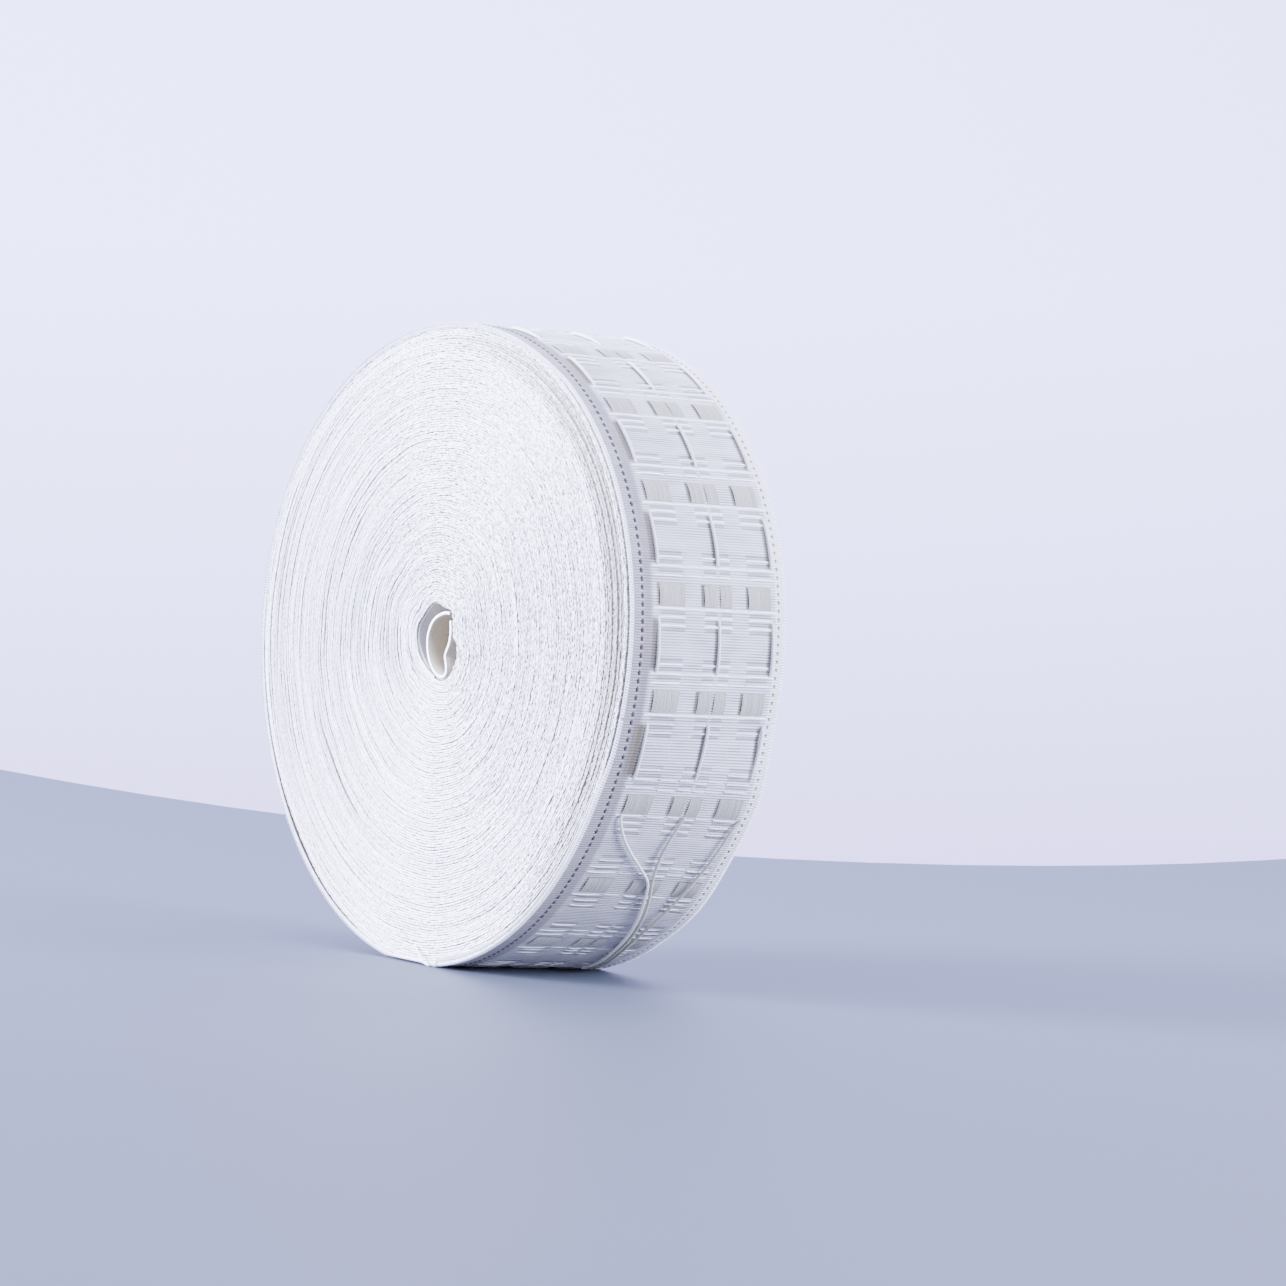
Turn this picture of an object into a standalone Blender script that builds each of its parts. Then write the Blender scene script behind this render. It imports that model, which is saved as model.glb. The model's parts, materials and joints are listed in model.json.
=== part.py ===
"""Roll of woven curtain heading tape, standing on its rim.

The roll's axis runs along Y and the roll stands on the plane z = 0. Its shown face looks towards -Y
and its loose outer end comes down on the +X side. Lengths are in metres. Angles are in degrees
about the roll's axis, from +X towards +Z.
"""

import math

import bmesh
import bpy
from mathutils import Vector

# Driving dimensions
TAPE_WIDTH = 0.075
ROLL_RADIUS = 0.126
REST_HALF_WIDTH = 0.0105
LOOSE_TURN = 0.0011
GAP = 0.0003

# The outline is a little out of round: order of each lobe, cosine and sine share of the radius.
LOBES = ((2, -0.0005, 0.0052), (3, -0.0021, 0.0111))

# The woven pattern, repeated along the outermost turn from the top edge of one pocket downwards
REPEAT_DEG = 18.4
FIRST_POCKET_DEG = -4.4
POCKET_HEIGHT = 0.0005
CORD_DIAMETER = 0.0012
CORD_HEIGHT = 0.0011

# Across the tape, from the near selvedge: place, raised in a pocket row, raised in a cord row.
COLUMNS = (
    (0.0000, False, False),
    (0.0138, False, False),
    (0.0144, False, True),
    (0.0150, False, False),
    (0.0156, True, False),
    (0.0263, True, False),
    (0.0270, False, False),
    (0.0362, False, False),
    (0.0369, True, False),
    (0.0421, True, False),
    (0.0427, False, False),
    (0.0433, False, True),
    (0.0439, False, False),
    (0.0445, True, False),
    (0.0495, True, False),
    (0.0502, False, False),
    (0.0575, False, False),
    (0.0582, True, False),
    (0.0685, True, False),
    (0.0691, False, False),
    (0.0697, False, True),
    (0.0703, False, False),
    (0.0750, False, False),
)

# Along one repeat: share of the repeat, in a pocket row, in a cord row.
ROWS = (
    (0.00, False, False),
    (0.03, True, False),
    (0.18, True, False),
    (0.21, False, False),
    (0.32, False, False),
    (0.36, False, True),
    (0.78, False, True),
    (0.82, False, False),
)

# The last stretch of the outermost turn: where it comes loose, where the cords leave its weave, and
# where it is cut. Its far selvedge stands off the roll by FLARE, as angle and distance.
END_TOP_DEG = -10.0
CORDS_FREE_DEG = -27.0
END_CUT_DEG = -82.6
FLARE = (
    (-10.0, 0.0000),
    (-24.0, 0.0036),
    (-37.0, 0.0027),
    (-48.0, 0.0034),
    (-62.0, 0.0019),
    (-83.0, 0.0016),
)
FLARE_FROM = 0.15
FLARE_POWER = 1.4
END_INSIDE_COLUMNS = (0.0, 0.3, 0.55, 0.8, 1.0)
FLOOR_GAP = 0.0002

# Roll underneath the loose end
BED_TOP_DEG = -10.02
BED_BOTTOM_DEG = -83.6
BED_STEPS = 12

# The hole in the middle of the winding, as angle and distance from the roll's axis
HOLE = (
    (4.0, 0.0127),
    (11.0, 0.0112),
    (27.0, 0.0118),
    (41.0, 0.0139),
    (53.0, 0.0152),
    (68.0, 0.0140),
    (78.0, 0.0137),
    (93.0, 0.0147),
    (103.0, 0.0150),
    (116.0, 0.0140),
    (135.0, 0.0129),
    (157.0, 0.0136),
    (180.0, 0.0129),
    (195.0, 0.0122),
    (215.0, 0.0114),
    (235.0, 0.0113),
    (256.0, 0.0126),
    (272.0, 0.0140),
    (286.0, 0.0155),
    (298.0, 0.0167),
    (307.0, 0.0166),
    (317.0, 0.0162),
    (330.0, 0.0157),
    (343.0, 0.0152),
    (353.0, 0.0146),
)

# Rings of the shown face: share of the roll's radius, set back all round, then a groove between
# turns that have parted: its depth, its middle and half of its arc.
SHOWN_FACE = (
    (0.200, 0.0003, 0.0000, 0.0, 1.0),
    (0.330, 0.0000, 0.0000, 0.0, 1.0),
    (0.405, 0.0000, 0.0000, 0.0, 1.0),
    (0.420, 0.0001, 0.0009, 165.0, 52.0),
    (0.435, 0.0003, 0.0000, 0.0, 1.0),
    (0.590, 0.0002, 0.0000, 0.0, 1.0),
    (0.605, 0.0002, 0.0006, 150.0, 28.0),
    (0.685, 0.0000, 0.0000, 0.0, 1.0),
    (0.700, 0.0000, 0.0008, -141.0, 24.0),
    (0.718, 0.0001, 0.0009, -20.0, 62.0),
    (0.735, 0.0001, 0.0000, 0.0, 1.0),
    (0.800, 0.0002, 0.0000, 0.0, 1.0),
    (0.817, 0.0003, 0.0010, 178.0, 44.0),
    (0.832, 0.0000, 0.0000, 0.0, 1.0),
    (0.908, 0.0000, 0.0000, 0.0, 1.0),
    (0.926, 0.0001, 0.0012, 22.0, 48.0),
    (0.944, 0.0000, 0.0000, 0.0, 1.0),
    (0.972, 0.0001, 0.0014, 20.0, 50.0),
)
PLAIN_FACE = (
    (0.250, 0.0002, 0.0000, 0.0, 1.0),
    (0.480, 0.0004, 0.0000, 0.0, 1.0),
    (0.700, 0.0001, 0.0000, 0.0, 1.0),
    (0.880, 0.0003, 0.0000, 0.0, 1.0),
    (0.972, 0.0000, 0.0000, 0.0, 1.0),
)
RING_POINTS = 72

# The innermost turn, loose in the hole: x and z of its middle line from the roll's axis, from its
# folded end on the right, down and round to where it joins the winding at the top.
START_PATH = (
    (0.0098, 0.0016),
    (0.0091, -0.0012),
    (0.0079, -0.0034),
    (0.0072, -0.0054),
    (0.0078, -0.0076),
    (0.0085, -0.0098),
    (0.0085, -0.0120),
    (0.0069, -0.0135),
    (0.0038, -0.0136),
    (0.0006, -0.0121),
    (-0.0022, -0.0095),
    (-0.0044, -0.0058),
    (-0.0055, -0.0018),
    (-0.0055, 0.0018),
    (-0.0044, 0.0049),
    (-0.0026, 0.0076),
    (0.0000, 0.0095),
    (0.0032, 0.0108),
    (0.0060, 0.0114),
    (0.0084, 0.0113),
)
START_THICKNESS = 0.0010
START_SETBACK = 0.0004
START_POINTS = 44

# Steps between two given points of a smooth curve, and the least angle between two woven rows
CURVE_STEPS = 12
LEAST_STEP_DEG = 0.2

TAPE_COLOUR = (0.84, 0.84, 0.89)
CORD_COLOUR = (0.86, 0.85, 0.84)

# Free ends of the three draw cords, from where each leaves the weave to the table. They run over the
# loose end of the tape, draw together half way down and slip under the roll side by side.
CORD_ROUTES = {
    "draw_cord_near": (
        (0.1108, -0.0230, 0.0692),
        (0.1096, -0.0225, 0.0662),
        (0.1062, -0.0178, 0.0598),
        (0.1027, -0.0116, 0.0542),
        (0.0984, -0.0032, 0.0478),
        (0.0940, 0.0041, 0.0417),
        (0.0877, 0.0079, 0.0345),
        (0.0795, 0.0118, 0.0267),
        (0.0689, 0.0156, 0.0188),
        (0.0584, 0.0181, 0.0124),
        (0.0467, 0.0206, 0.0066),
        (0.0378, 0.0221, 0.0034),
        (0.0306, 0.0229, 0.0015),
    ),
    "draw_cord_middle": (
        (0.1120, 0.0058, 0.0687),
        (0.1101, 0.0047, 0.0649),
        (0.1064, 0.0034, 0.0586),
        (0.1023, 0.0032, 0.0526),
        (0.0976, 0.0045, 0.0462),
        (0.0934, 0.0066, 0.0407),
        (0.0878, 0.0101, 0.0344),
        (0.0796, 0.0140, 0.0266),
        (0.0689, 0.0177, 0.0188),
        (0.0584, 0.0202, 0.0124),
        (0.0467, 0.0227, 0.0066),
        (0.0378, 0.0241, 0.0034),
        (0.0306, 0.0249, 0.0014),
    ),
    "draw_cord_far": (
        (0.1135, 0.0319, 0.0679),
        (0.1114, 0.0296, 0.0641),
        (0.1066, 0.0282, 0.0566),
        (0.1013, 0.0268, 0.0492),
        (0.0966, 0.0250, 0.0432),
        (0.0913, 0.0234, 0.0369),
        (0.0851, 0.0219, 0.0307),
        (0.0775, 0.0209, 0.0245),
        (0.0669, 0.0212, 0.0173),
        (0.0574, 0.0225, 0.0117),
        (0.0467, 0.0247, 0.0065),
        (0.0378, 0.0263, 0.0033),
        (0.0306, 0.0270, 0.0013),
    ),
}
CORD_POINTS = 26


def smooth_between(table, at):
    """The value at one place of a table of (place, value), with a smooth rise between its rows."""
    rows = sorted(table)
    if at <= rows[0][0]:
        return rows[0][1]
    for (low, first), (high, second) in zip(rows, rows[1:]):
        if at <= high:
            share = (at - low) / (high - low)
            return first + (second - first) * share * share * (3 - 2 * share)
    return rows[-1][1]


def outline(deg):
    """Radius of the outermost turn at an angle."""
    angle = math.radians(deg)
    swell = sum(c * math.cos(n * angle) + s * math.sin(n * angle) for n, c, s in LOBES)
    return ROLL_RADIUS * (1 + swell)


# The axis lies so high that the outline meets the table at the edges of the flat spot.
REST_EDGE_DEG = math.degrees(math.asin(REST_HALF_WIDTH / outline(-90)))
AXIS_HEIGHT = outline(REST_EDGE_DEG - 90) * math.cos(math.radians(REST_EDGE_DEG))


def place(deg, radius, across, lowest=0.0):
    """A point at an angle and radius, so far from the near selvedge, and not below the table."""
    angle = math.radians(deg)
    height = max(AXIS_HEIGHT + radius * math.sin(angle), lowest)
    return Vector((radius * math.cos(angle), across - TAPE_WIDTH / 2, height))


def hole_radius(deg):
    """Radius of the hole at an angle."""
    around = HOLE + tuple((at - 360, radius) for at, radius in HOLE)
    return smooth_between(around, deg if deg <= HOLE[-1][0] else deg - 360)


def flare(deg, across):
    """How far the loose end stands off the roll."""
    share = max(0.0, across / TAPE_WIDTH - FLARE_FROM) / (1 - FLARE_FROM)
    return smooth_between(FLARE, deg) * share**FLARE_POWER


def pattern_rows(top, bottom):
    """Rows of the weave between two angles, downwards: angle, in a pocket row, in a cord row."""
    rows = []
    first = math.floor((FIRST_POCKET_DEG - top) / REPEAT_DEG)
    last = math.ceil((FIRST_POCKET_DEG - bottom) / REPEAT_DEG)
    for repeat in range(first, last + 1):
        for share, pocket, cord in ROWS:
            deg = FIRST_POCKET_DEG - (repeat + share) * REPEAT_DEG
            if bottom + LEAST_STEP_DEG < deg < top - LEAST_STEP_DEG:
                rows.append((deg, pocket, cord and deg > CORDS_FREE_DEG))
    return [(top, False, False)] + rows + [(bottom, False, False)]


def relief(row, column):
    """Height of the weave over the ground of the tape."""
    _, pocket_row, cord_row = row
    _, pocket_column, cord_column = column
    return POCKET_HEIGHT * (pocket_row and pocket_column) + CORD_HEIGHT * (cord_row and cord_column)


def bridge(mesh, first, second):
    """Faces between two closed loops of as many points."""
    for i, point in enumerate(first):
        after = (i + 1) % len(first)
        mesh.faces.new((point, first[after], second[after], second[i]))


def stitch(mesh, first, second, round_by=None):
    """Triangles between two rows of (place, point) whose places fall differently.

    The places run downwards. Rows that close on themselves say by how much a round lowers them.
    """
    if round_by is not None:
        first = first + [(first[0][0] - round_by, first[0][1])]
        second = second + [(second[0][0] - round_by, second[0][1])]
    i = j = 0
    while i + 1 < len(first) or j + 1 < len(second):
        along_first = i + 1 < len(first)
        if along_first and j + 1 < len(second):
            along_first = first[i + 1][0] >= second[j + 1][0]
        ahead = first[i + 1][1] if along_first else second[j + 1][1]
        mesh.faces.new((first[i][1], ahead, second[j][1]))
        i += along_first
        j += not along_first


def solid(name, mesh, material):
    """An object from a closed bmesh."""
    bmesh.ops.recalc_face_normals(mesh, faces=mesh.faces)
    data = bpy.data.meshes.new(name)
    mesh.to_mesh(data)
    mesh.free()
    data.materials.append(material)
    data.shade_smooth()
    data.set_sharp_from_angle(angle=math.radians(40))
    obj = bpy.data.objects.new(name, data)
    bpy.context.scene.collection.objects.link(obj)
    return obj


def face_loops(mesh, table, across, inwards, degs):
    """Closed loops of one face of the roll, from its outermost ring to the edge of the hole."""
    loops = []
    for share, set_back, groove, middle, half in reversed(table):
        loop = []
        for deg in degs:
            away = abs((deg - middle + 180) % 360 - 180) / half
            depth = set_back + groove * math.cos(math.pi / 2 * min(away, 1.0))
            point = place(deg, outline(deg) * share, across + inwards * depth)
            loop.append(mesh.verts.new(point))
        loops.append(loop)
    loops.append([mesh.verts.new(place(deg, hole_radius(deg), across)) for deg in degs])
    return loops


def make_tape_roll(material):
    """The wound roll: its patterned rim, its two faces and the hole through it."""
    mesh = bmesh.new()
    rows = [(270 + REST_EDGE_DEG, False, False), (270, False, False)]
    rows += pattern_rows(270 - REST_EDGE_DEG, END_TOP_DEG)
    bed_step = (BED_BOTTOM_DEG - BED_TOP_DEG) / BED_STEPS
    bed = [BED_TOP_DEG + bed_step * step for step in range(BED_STEPS + 1)]
    columns = []
    for column in COLUMNS:
        loop = [
            mesh.verts.new(place(row[0], outline(row[0]) + relief(row, column), column[0]))
            for row in rows
        ]
        loop += [
            mesh.verts.new(place(deg, outline(deg) - LOOSE_TURN - GAP, column[0])) for deg in bed
        ]
        columns.append(loop)
    for first, second in zip(columns, columns[1:]):
        bridge(mesh, first, second)

    rim_degs = [row[0] for row in rows] + bed
    ring_degs = [270 - 360 * i / RING_POINTS for i in range(RING_POINTS)]
    shown = face_loops(mesh, SHOWN_FACE, 0.0, 1, ring_degs)
    plain = face_loops(mesh, PLAIN_FACE, TAPE_WIDTH, -1, ring_degs)
    for rim, loops in ((columns[0], shown), (columns[-1], plain)):
        stitch(mesh, list(zip(rim_degs, rim)), list(zip(ring_degs, loops[0])), round_by=360)
        for first, second in zip(loops, loops[1:]):
            bridge(mesh, first, second)
    bridge(mesh, shown[-1], plain[-1])
    return solid("tape_roll", mesh, material)


def make_tape_end(material):
    """The loose end of the outermost turn, one sheet that stands off the roll at its far selvedge."""
    mesh = bmesh.new()
    slit = math.degrees(GAP / ROLL_RADIUS)
    rows = pattern_rows(END_TOP_DEG - slit, END_CUT_DEG)
    inside = [share * TAPE_WIDTH for share in END_INSIDE_COLUMNS]
    loops = []
    for row in rows:
        outer = []
        for column in COLUMNS:
            radius = outline(row[0]) + flare(row[0], column[0]) + relief(row, column)
            outer.append(mesh.verts.new(place(row[0], radius, column[0], FLOOR_GAP)))
        inner = []
        for across in inside:
            radius = outline(row[0]) + flare(row[0], across) - LOOSE_TURN
            inner.append(mesh.verts.new(place(row[0], radius, across, FLOOR_GAP + LOOSE_TURN)))
        loops.append((outer, inner))
    for (outer, inner), (outer_below, inner_below) in zip(loops, loops[1:]):
        bridge(mesh, outer + inner[::-1], outer_below + inner_below[::-1])
    for outer, inner in (loops[0], loops[-1]):
        outer_places = [-column[0] for column in COLUMNS]
        inner_places = [-across for across in inside]
        stitch(mesh, list(zip(outer_places, outer)), list(zip(inner_places, inner)))
    return solid("tape_end", mesh, material)


def curve_through(points, count):
    """Points at even steps along a smooth curve through the given ones."""
    fine = []
    ends = [points[0] * 2 - points[1], *points, points[-1] * 2 - points[-2]]
    for a, b, c, d in zip(ends, ends[1:], ends[2:], ends[3:]):
        for step in range(CURVE_STEPS):
            t = step / CURVE_STEPS
            bend = (a * 2 - b * 5 + c * 4 - d) * t * t + (b * 3 - a - c * 3 + d) * t**3
            fine.append((b * 2 + (c - a) * t + bend) / 2)
    fine.append(points[-1])
    travelled = [0.0]
    for first, second in zip(fine, fine[1:]):
        travelled.append(travelled[-1] + (second - first).length)
    even = []
    at = 0
    for i in range(count):
        wanted = travelled[-1] * i / (count - 1)
        while at + 2 < len(fine) and travelled[at + 1] < wanted:
            at += 1
        share = (wanted - travelled[at]) / (travelled[at + 1] - travelled[at])
        even.append(fine[at].lerp(fine[at + 1], share))
    return even


def make_tape_start(material):
    """The innermost turn, a strip on edge that stands loose in the hole."""
    mesh = bmesh.new()
    given = [Vector((x, 0.0, AXIS_HEIGHT + z)) for x, z in START_PATH]
    path = curve_through(given, START_POINTS)
    near = START_SETBACK - TAPE_WIDTH / 2
    loops = []
    for i, point in enumerate(path):
        along = path[min(i + 1, len(path) - 1)] - path[max(i - 1, 0)]
        side = Vector((-along.z, 0.0, along.x)).normalized() * START_THICKNESS / 2
        corners = ((point + side, near), (point - side, near))
        corners += ((point - side, -near), (point + side, -near))
        loops.append([mesh.verts.new((corner.x, y, corner.z)) for corner, y in corners])
    for first, second in zip(loops, loops[1:]):
        bridge(mesh, first, second)
    mesh.faces.new(loops[0])
    mesh.faces.new(loops[-1])
    return solid("tape_start", mesh, material)


def make_cord(name, route, material):
    """A free cord as a round tube along a smooth curve."""
    points = curve_through([Vector(point) for point in route], CORD_POINTS)
    curve = bpy.data.curves.new(name, "CURVE")
    curve.dimensions = "3D"
    curve.bevel_depth = CORD_DIAMETER / 2
    curve.bevel_resolution = 2
    curve.use_fill_caps = True
    spline = curve.splines.new("POLY")
    spline.points.add(len(points) - 1)
    for target, point in zip(spline.points, points):
        target.co = (*point, 1.0)
    curve.materials.append(material)
    obj = bpy.data.objects.new(name, curve)
    bpy.context.scene.collection.objects.link(obj)
    return obj


def make_material(name, colour, roughness):
    material = bpy.data.materials.new(name)
    material.use_nodes = True
    shader = material.node_tree.nodes["Principled BSDF"]
    shader.inputs["Base Color"].default_value = (*colour, 1.0)
    shader.inputs["Roughness"].default_value = roughness
    shader.inputs["Metallic"].default_value = 0.0
    return material


def main():
    for obj in list(bpy.data.objects):
        bpy.data.objects.remove(obj)
    tape = make_material("woven_tape", TAPE_COLOUR, 0.9)
    cord = make_material("draw_cord", CORD_COLOUR, 0.7)
    make_tape_roll(tape)
    make_tape_end(tape)
    make_tape_start(tape)
    for name, route in CORD_ROUTES.items():
        make_cord(name, route, cord)


main()
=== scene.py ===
# %% [markdown]
# # A roll of curtain heading tape
#
# Heading tape is a firm white woven strip that is sewn along the top of a curtain. Cords run
# through pockets in its weave, and pulling them gathers the curtain into pleats. A shop buys it as
# a roll like this one, some fifty metres wound on itself with no core. This lesson dresses a plain
# CAD model of the roll. The CAD model is loaded as a fixed frame, so that every piece made here has
# a known place, in metres, and nothing needs to be fitted by eye.

# %% Load the plain roll
import json
import math

import bmesh
import bpy
import numpy as np
from mathutils import Matrix, Vector

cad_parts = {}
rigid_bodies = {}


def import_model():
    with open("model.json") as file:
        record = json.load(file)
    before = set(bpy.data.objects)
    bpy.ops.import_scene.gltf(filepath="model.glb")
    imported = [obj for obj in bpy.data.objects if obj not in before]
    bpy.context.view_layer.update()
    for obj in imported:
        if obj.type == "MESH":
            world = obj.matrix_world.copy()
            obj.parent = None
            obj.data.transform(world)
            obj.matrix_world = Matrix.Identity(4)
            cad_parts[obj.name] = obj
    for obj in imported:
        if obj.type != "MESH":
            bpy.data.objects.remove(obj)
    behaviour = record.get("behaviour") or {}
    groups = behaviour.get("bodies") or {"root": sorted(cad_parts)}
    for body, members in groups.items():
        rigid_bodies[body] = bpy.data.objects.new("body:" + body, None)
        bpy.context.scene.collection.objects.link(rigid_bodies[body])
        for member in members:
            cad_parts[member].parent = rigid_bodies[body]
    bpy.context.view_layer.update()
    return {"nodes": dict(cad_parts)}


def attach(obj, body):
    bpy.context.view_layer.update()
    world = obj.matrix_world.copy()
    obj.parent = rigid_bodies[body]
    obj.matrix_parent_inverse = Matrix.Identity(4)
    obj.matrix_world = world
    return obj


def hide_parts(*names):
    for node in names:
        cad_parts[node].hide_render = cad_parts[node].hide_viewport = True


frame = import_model()
print("the plain roll has the nodes", sorted(frame["nodes"]))

# %% [markdown]
# ## The sizes that everything shares
#
# The tape is 75 mm wide and the roll is about 252 mm across. A soft roll is never quite round, so
# its radius gains two small waves, one of two lobes and one of three. The roll's axis runs along Y,
# angles are counted from +X towards +Z, and a point on the roll is given by its angle, its distance
# from the axis, and how far across the tape it lies from the near edge. No point may lie below the
# table, and that alone makes the small flat spot. Past the tape's cut end the roll is one turn
# thinner and stays a hair off the table, which draws a thin dark line under it. Numpy arrays go
# through these functions as easily as single numbers, so thousands of points are placed at once.

# %% Name the sizes and place points on the roll
TAPE_WIDTH = 0.075
ROLL_RADIUS = 0.126
REST_HALF_WIDTH = 0.0105
LOBES = ((2, -0.0005, 0.0052), (3, -0.0021, 0.0111))
TAPE_THICKNESS = 0.0011
FLOOR_GAP = 0.0002


def soft_step(share):
    """A climb from nought to one that starts and ends softly."""
    return share * share * (3 - 2 * share)


def outline(deg):
    """Radius of the outermost turn."""
    angle = np.radians(deg)
    swell = sum(c * np.cos(n * angle) + s * np.sin(n * angle) for n, c, s in LOBES)
    return ROLL_RADIUS * (1 + swell)


rest_edge = math.asin(REST_HALF_WIDTH / outline(-90))
AXIS_HEIGHT = float(outline(math.degrees(rest_edge) - 90) * math.cos(rest_edge))


def place(deg, radius, across, lowest=FLOOR_GAP):
    """Points at an angle, a distance from the axis and a distance across the tape."""
    angle = np.radians(deg)
    height = np.maximum(AXIS_HEIGHT + radius * np.sin(angle), lowest)
    parts = np.broadcast_arrays(radius * np.cos(angle), across - TAPE_WIDTH / 2, height)
    return np.stack(parts, axis=-1)


def underside(deg):
    """How far the roll stays off the table past the cut end, where it is one turn thinner."""
    past = np.clip((276.8 - np.asarray(deg) % 360) / 6, 0, 1)
    return 0.0006 * soft_step(past)


print("the axis lies", round(AXIS_HEIGHT * 1000, 1), "mm above the table")

# %% [markdown]
# ## The camera
#
# The camera stands low and well back, and looks at the roll's rim and at one of its faces. Its
# place was worked out from the two ellipses that the faces make in the picture: a long lens,
# almost level, turned a little about its own line of sight. The three short vectors below are the
# camera's own right, up and back, and each turn mixes two of them.

# %% Stand the camera where the photographer stood
AZIMUTH, ELEVATION, ROLL_ABOUT_VIEW, YAW, PITCH = np.radians((54.51, 1.90, 3.95, 1.534, 0.12))
CAMERA_DISTANCE = 1.9316
LENS_MM = 136.24


def show(name, data):
    """A new object in the scene."""
    obj = bpy.data.objects.new(name, data)
    bpy.context.scene.collection.objects.link(obj)
    return obj


def turned(first, second, angle):
    """The first vector turned towards the second, and the second away from the first."""
    return (
        first * math.cos(angle) + second * math.sin(angle),
        second * math.cos(angle) - first * math.sin(angle),
    )


back = np.array(
    (
        math.sin(AZIMUTH) * math.cos(ELEVATION),
        -math.cos(AZIMUTH) * math.cos(ELEVATION),
        math.sin(ELEVATION),
    )
)
camera_place = np.array((0.0, 0.0, AXIS_HEIGHT)) + back * CAMERA_DISTANCE
right = np.cross(-back, (0, 0, 1))
right /= np.linalg.norm(right)
up = np.cross(right, -back)
forward, right = turned(-back, right, YAW)
forward, up = turned(forward, np.cross(right, forward), PITCH)
right, up = turned(right, up, ROLL_ABOUT_VIEW)

camera_data = bpy.data.cameras.new("camera")
camera_data.lens = LENS_MM
camera_data.sensor_width = 36.0
camera_data.sensor_fit = "HORIZONTAL"
camera = show("camera", camera_data)
axes = np.eye(4)
axes[:3, 0], axes[:3, 1], axes[:3, 2], axes[:3, 3] = right, up, -forward, camera_place
camera.matrix_world = Matrix(axes.tolist())
bpy.context.scene.camera = camera
print("the camera stands at", np.round(camera_place, 3))

# %% [markdown]
# ## Two ways to make a mesh from rows of points
#
# Most pieces here are strips: rows of points along the tape and columns across it. One helper joins
# such a grid into faces. A second one closes a sheet that has a top and an underside, because real
# tape has a thickness. Both also store where each point lies on the tape as a UV map, so that a
# weave can follow the cloth wherever it bends. A third helper ties each finished piece to the
# roll's one body and hides the node of the plain model that it stands for.

# %% Join grids of points into meshes


def grid_faces(rows, columns, close=False, start=0):
    """Faces of a grid of points, as rows of four point numbers."""
    index = start + np.arange(rows * columns).reshape(rows, columns)
    if close:
        index = np.vstack((index, index[:1]))
    corners = (index[:-1, :-1], index[1:, :-1], index[1:, 1:], index[:-1, 1:])
    return np.stack(corners, axis=-1).reshape(-1, 4)


def make_object(name, points, faces, uv=None, away_from=None, edges=()):
    """A smooth object from arrays; its faces can be turned away from a point."""
    data = bpy.data.meshes.new(name)
    faces = faces.tolist() if isinstance(faces, np.ndarray) else faces
    data.from_pydata(np.asarray(points).reshape(-1, 3).tolist(), list(edges), faces)
    if uv is not None:
        layer = data.uv_layers.new(name="weave")
        corner_points = np.empty(len(data.loops), dtype=np.int64)
        data.loops.foreach_get("vertex_index", corner_points)
        layer.data.foreach_set("uv", uv.reshape(-1, 2)[corner_points].astype(np.float32).ravel())
    if len(faces):
        data.shade_smooth()
    if away_from is not None:
        middle = data.polygons[len(data.polygons) // 2]
        if middle.normal.dot(middle.center - Vector(away_from)) < 0:
            data.flip_normals()
    return show(name, data)


def turn_outwards(obj):
    """Turns every face of a closed shell outwards."""
    shell = bmesh.new()
    shell.from_mesh(obj.data)
    bmesh.ops.recalc_face_normals(shell, faces=shell.faces)
    shell.to_mesh(obj.data)
    shell.free()


def make_sheet(name, top, under, uv):
    """A closed sheet from the grid of its top and the grid of its underside."""
    rows, columns = top.shape[:2]
    count = rows * columns
    index = np.arange(count).reshape(rows, columns)
    ring = np.concatenate((index[0, :], index[1:, -1], index[-1, -2::-1], index[-2:0:-1, 0]))
    after = np.roll(ring, -1)
    border = np.stack((ring, after, after + count, ring + count), axis=-1)
    underneath = grid_faces(rows, columns, start=count)[:, ::-1]
    faces = np.vstack((grid_faces(rows, columns), underneath, border))
    points = np.concatenate((top.reshape(-1, 3), under.reshape(-1, 3)))
    obj = make_object(name, points, faces, np.concatenate((uv.reshape(-1, 2), uv.reshape(-1, 2))))
    turn_outwards(obj)
    for face in list(obj.data.polygons)[-len(border):]:
        face.use_smooth = False
    return obj


def carry(obj, label, values):
    """Gives each point of an object a number or a vector of its own."""
    kind, field = ("FLOAT", "value") if values.ndim == 1 else ("FLOAT_VECTOR", "vector")
    carried = obj.data.attributes.new(label, kind, "POINT")
    carried.data.foreach_set(field, values.astype(np.float32).ravel())


def unit(vectors):
    """Rows of vectors, each brought to length one."""
    return vectors / np.linalg.norm(vectors, axis=1)[:, None]


def distances(line):
    """How far each point of a line lies from its start, along the line."""
    steps = np.linalg.norm(np.diff(line, axis=0), axis=1)
    return np.concatenate(((0.0,), np.cumsum(steps)))


def weave_map(repeats, shares):
    """UV map of a grid: repeats down the tape for its rows, shares of the width for its columns."""
    return np.stack(np.broadcast_arrays(repeats[:, None], shares[None, :]), axis=-1)


def dress(obj, node):
    """Ties a finished piece to the roll and hides the plain node that it replaces."""
    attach(obj, "root")
    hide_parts(node)


print("helpers for grids are ready")

# %% [markdown]
# ## The three draw cords
#
# Three cotton cords come out of the weave near the loose end, draw together half way down and slip
# under the roll. Each is a limp cord 1.2 mm thick, spun from three plies. A curve with a round
# bevel would look like wire, so each cord is a tube whose outline has three soft ridges, and the
# outline turns a little from ring to ring as spun plies do. The routes are those of the plain
# model. The helper takes a diameter, because a thin frayed thread is spun with it later.

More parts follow.
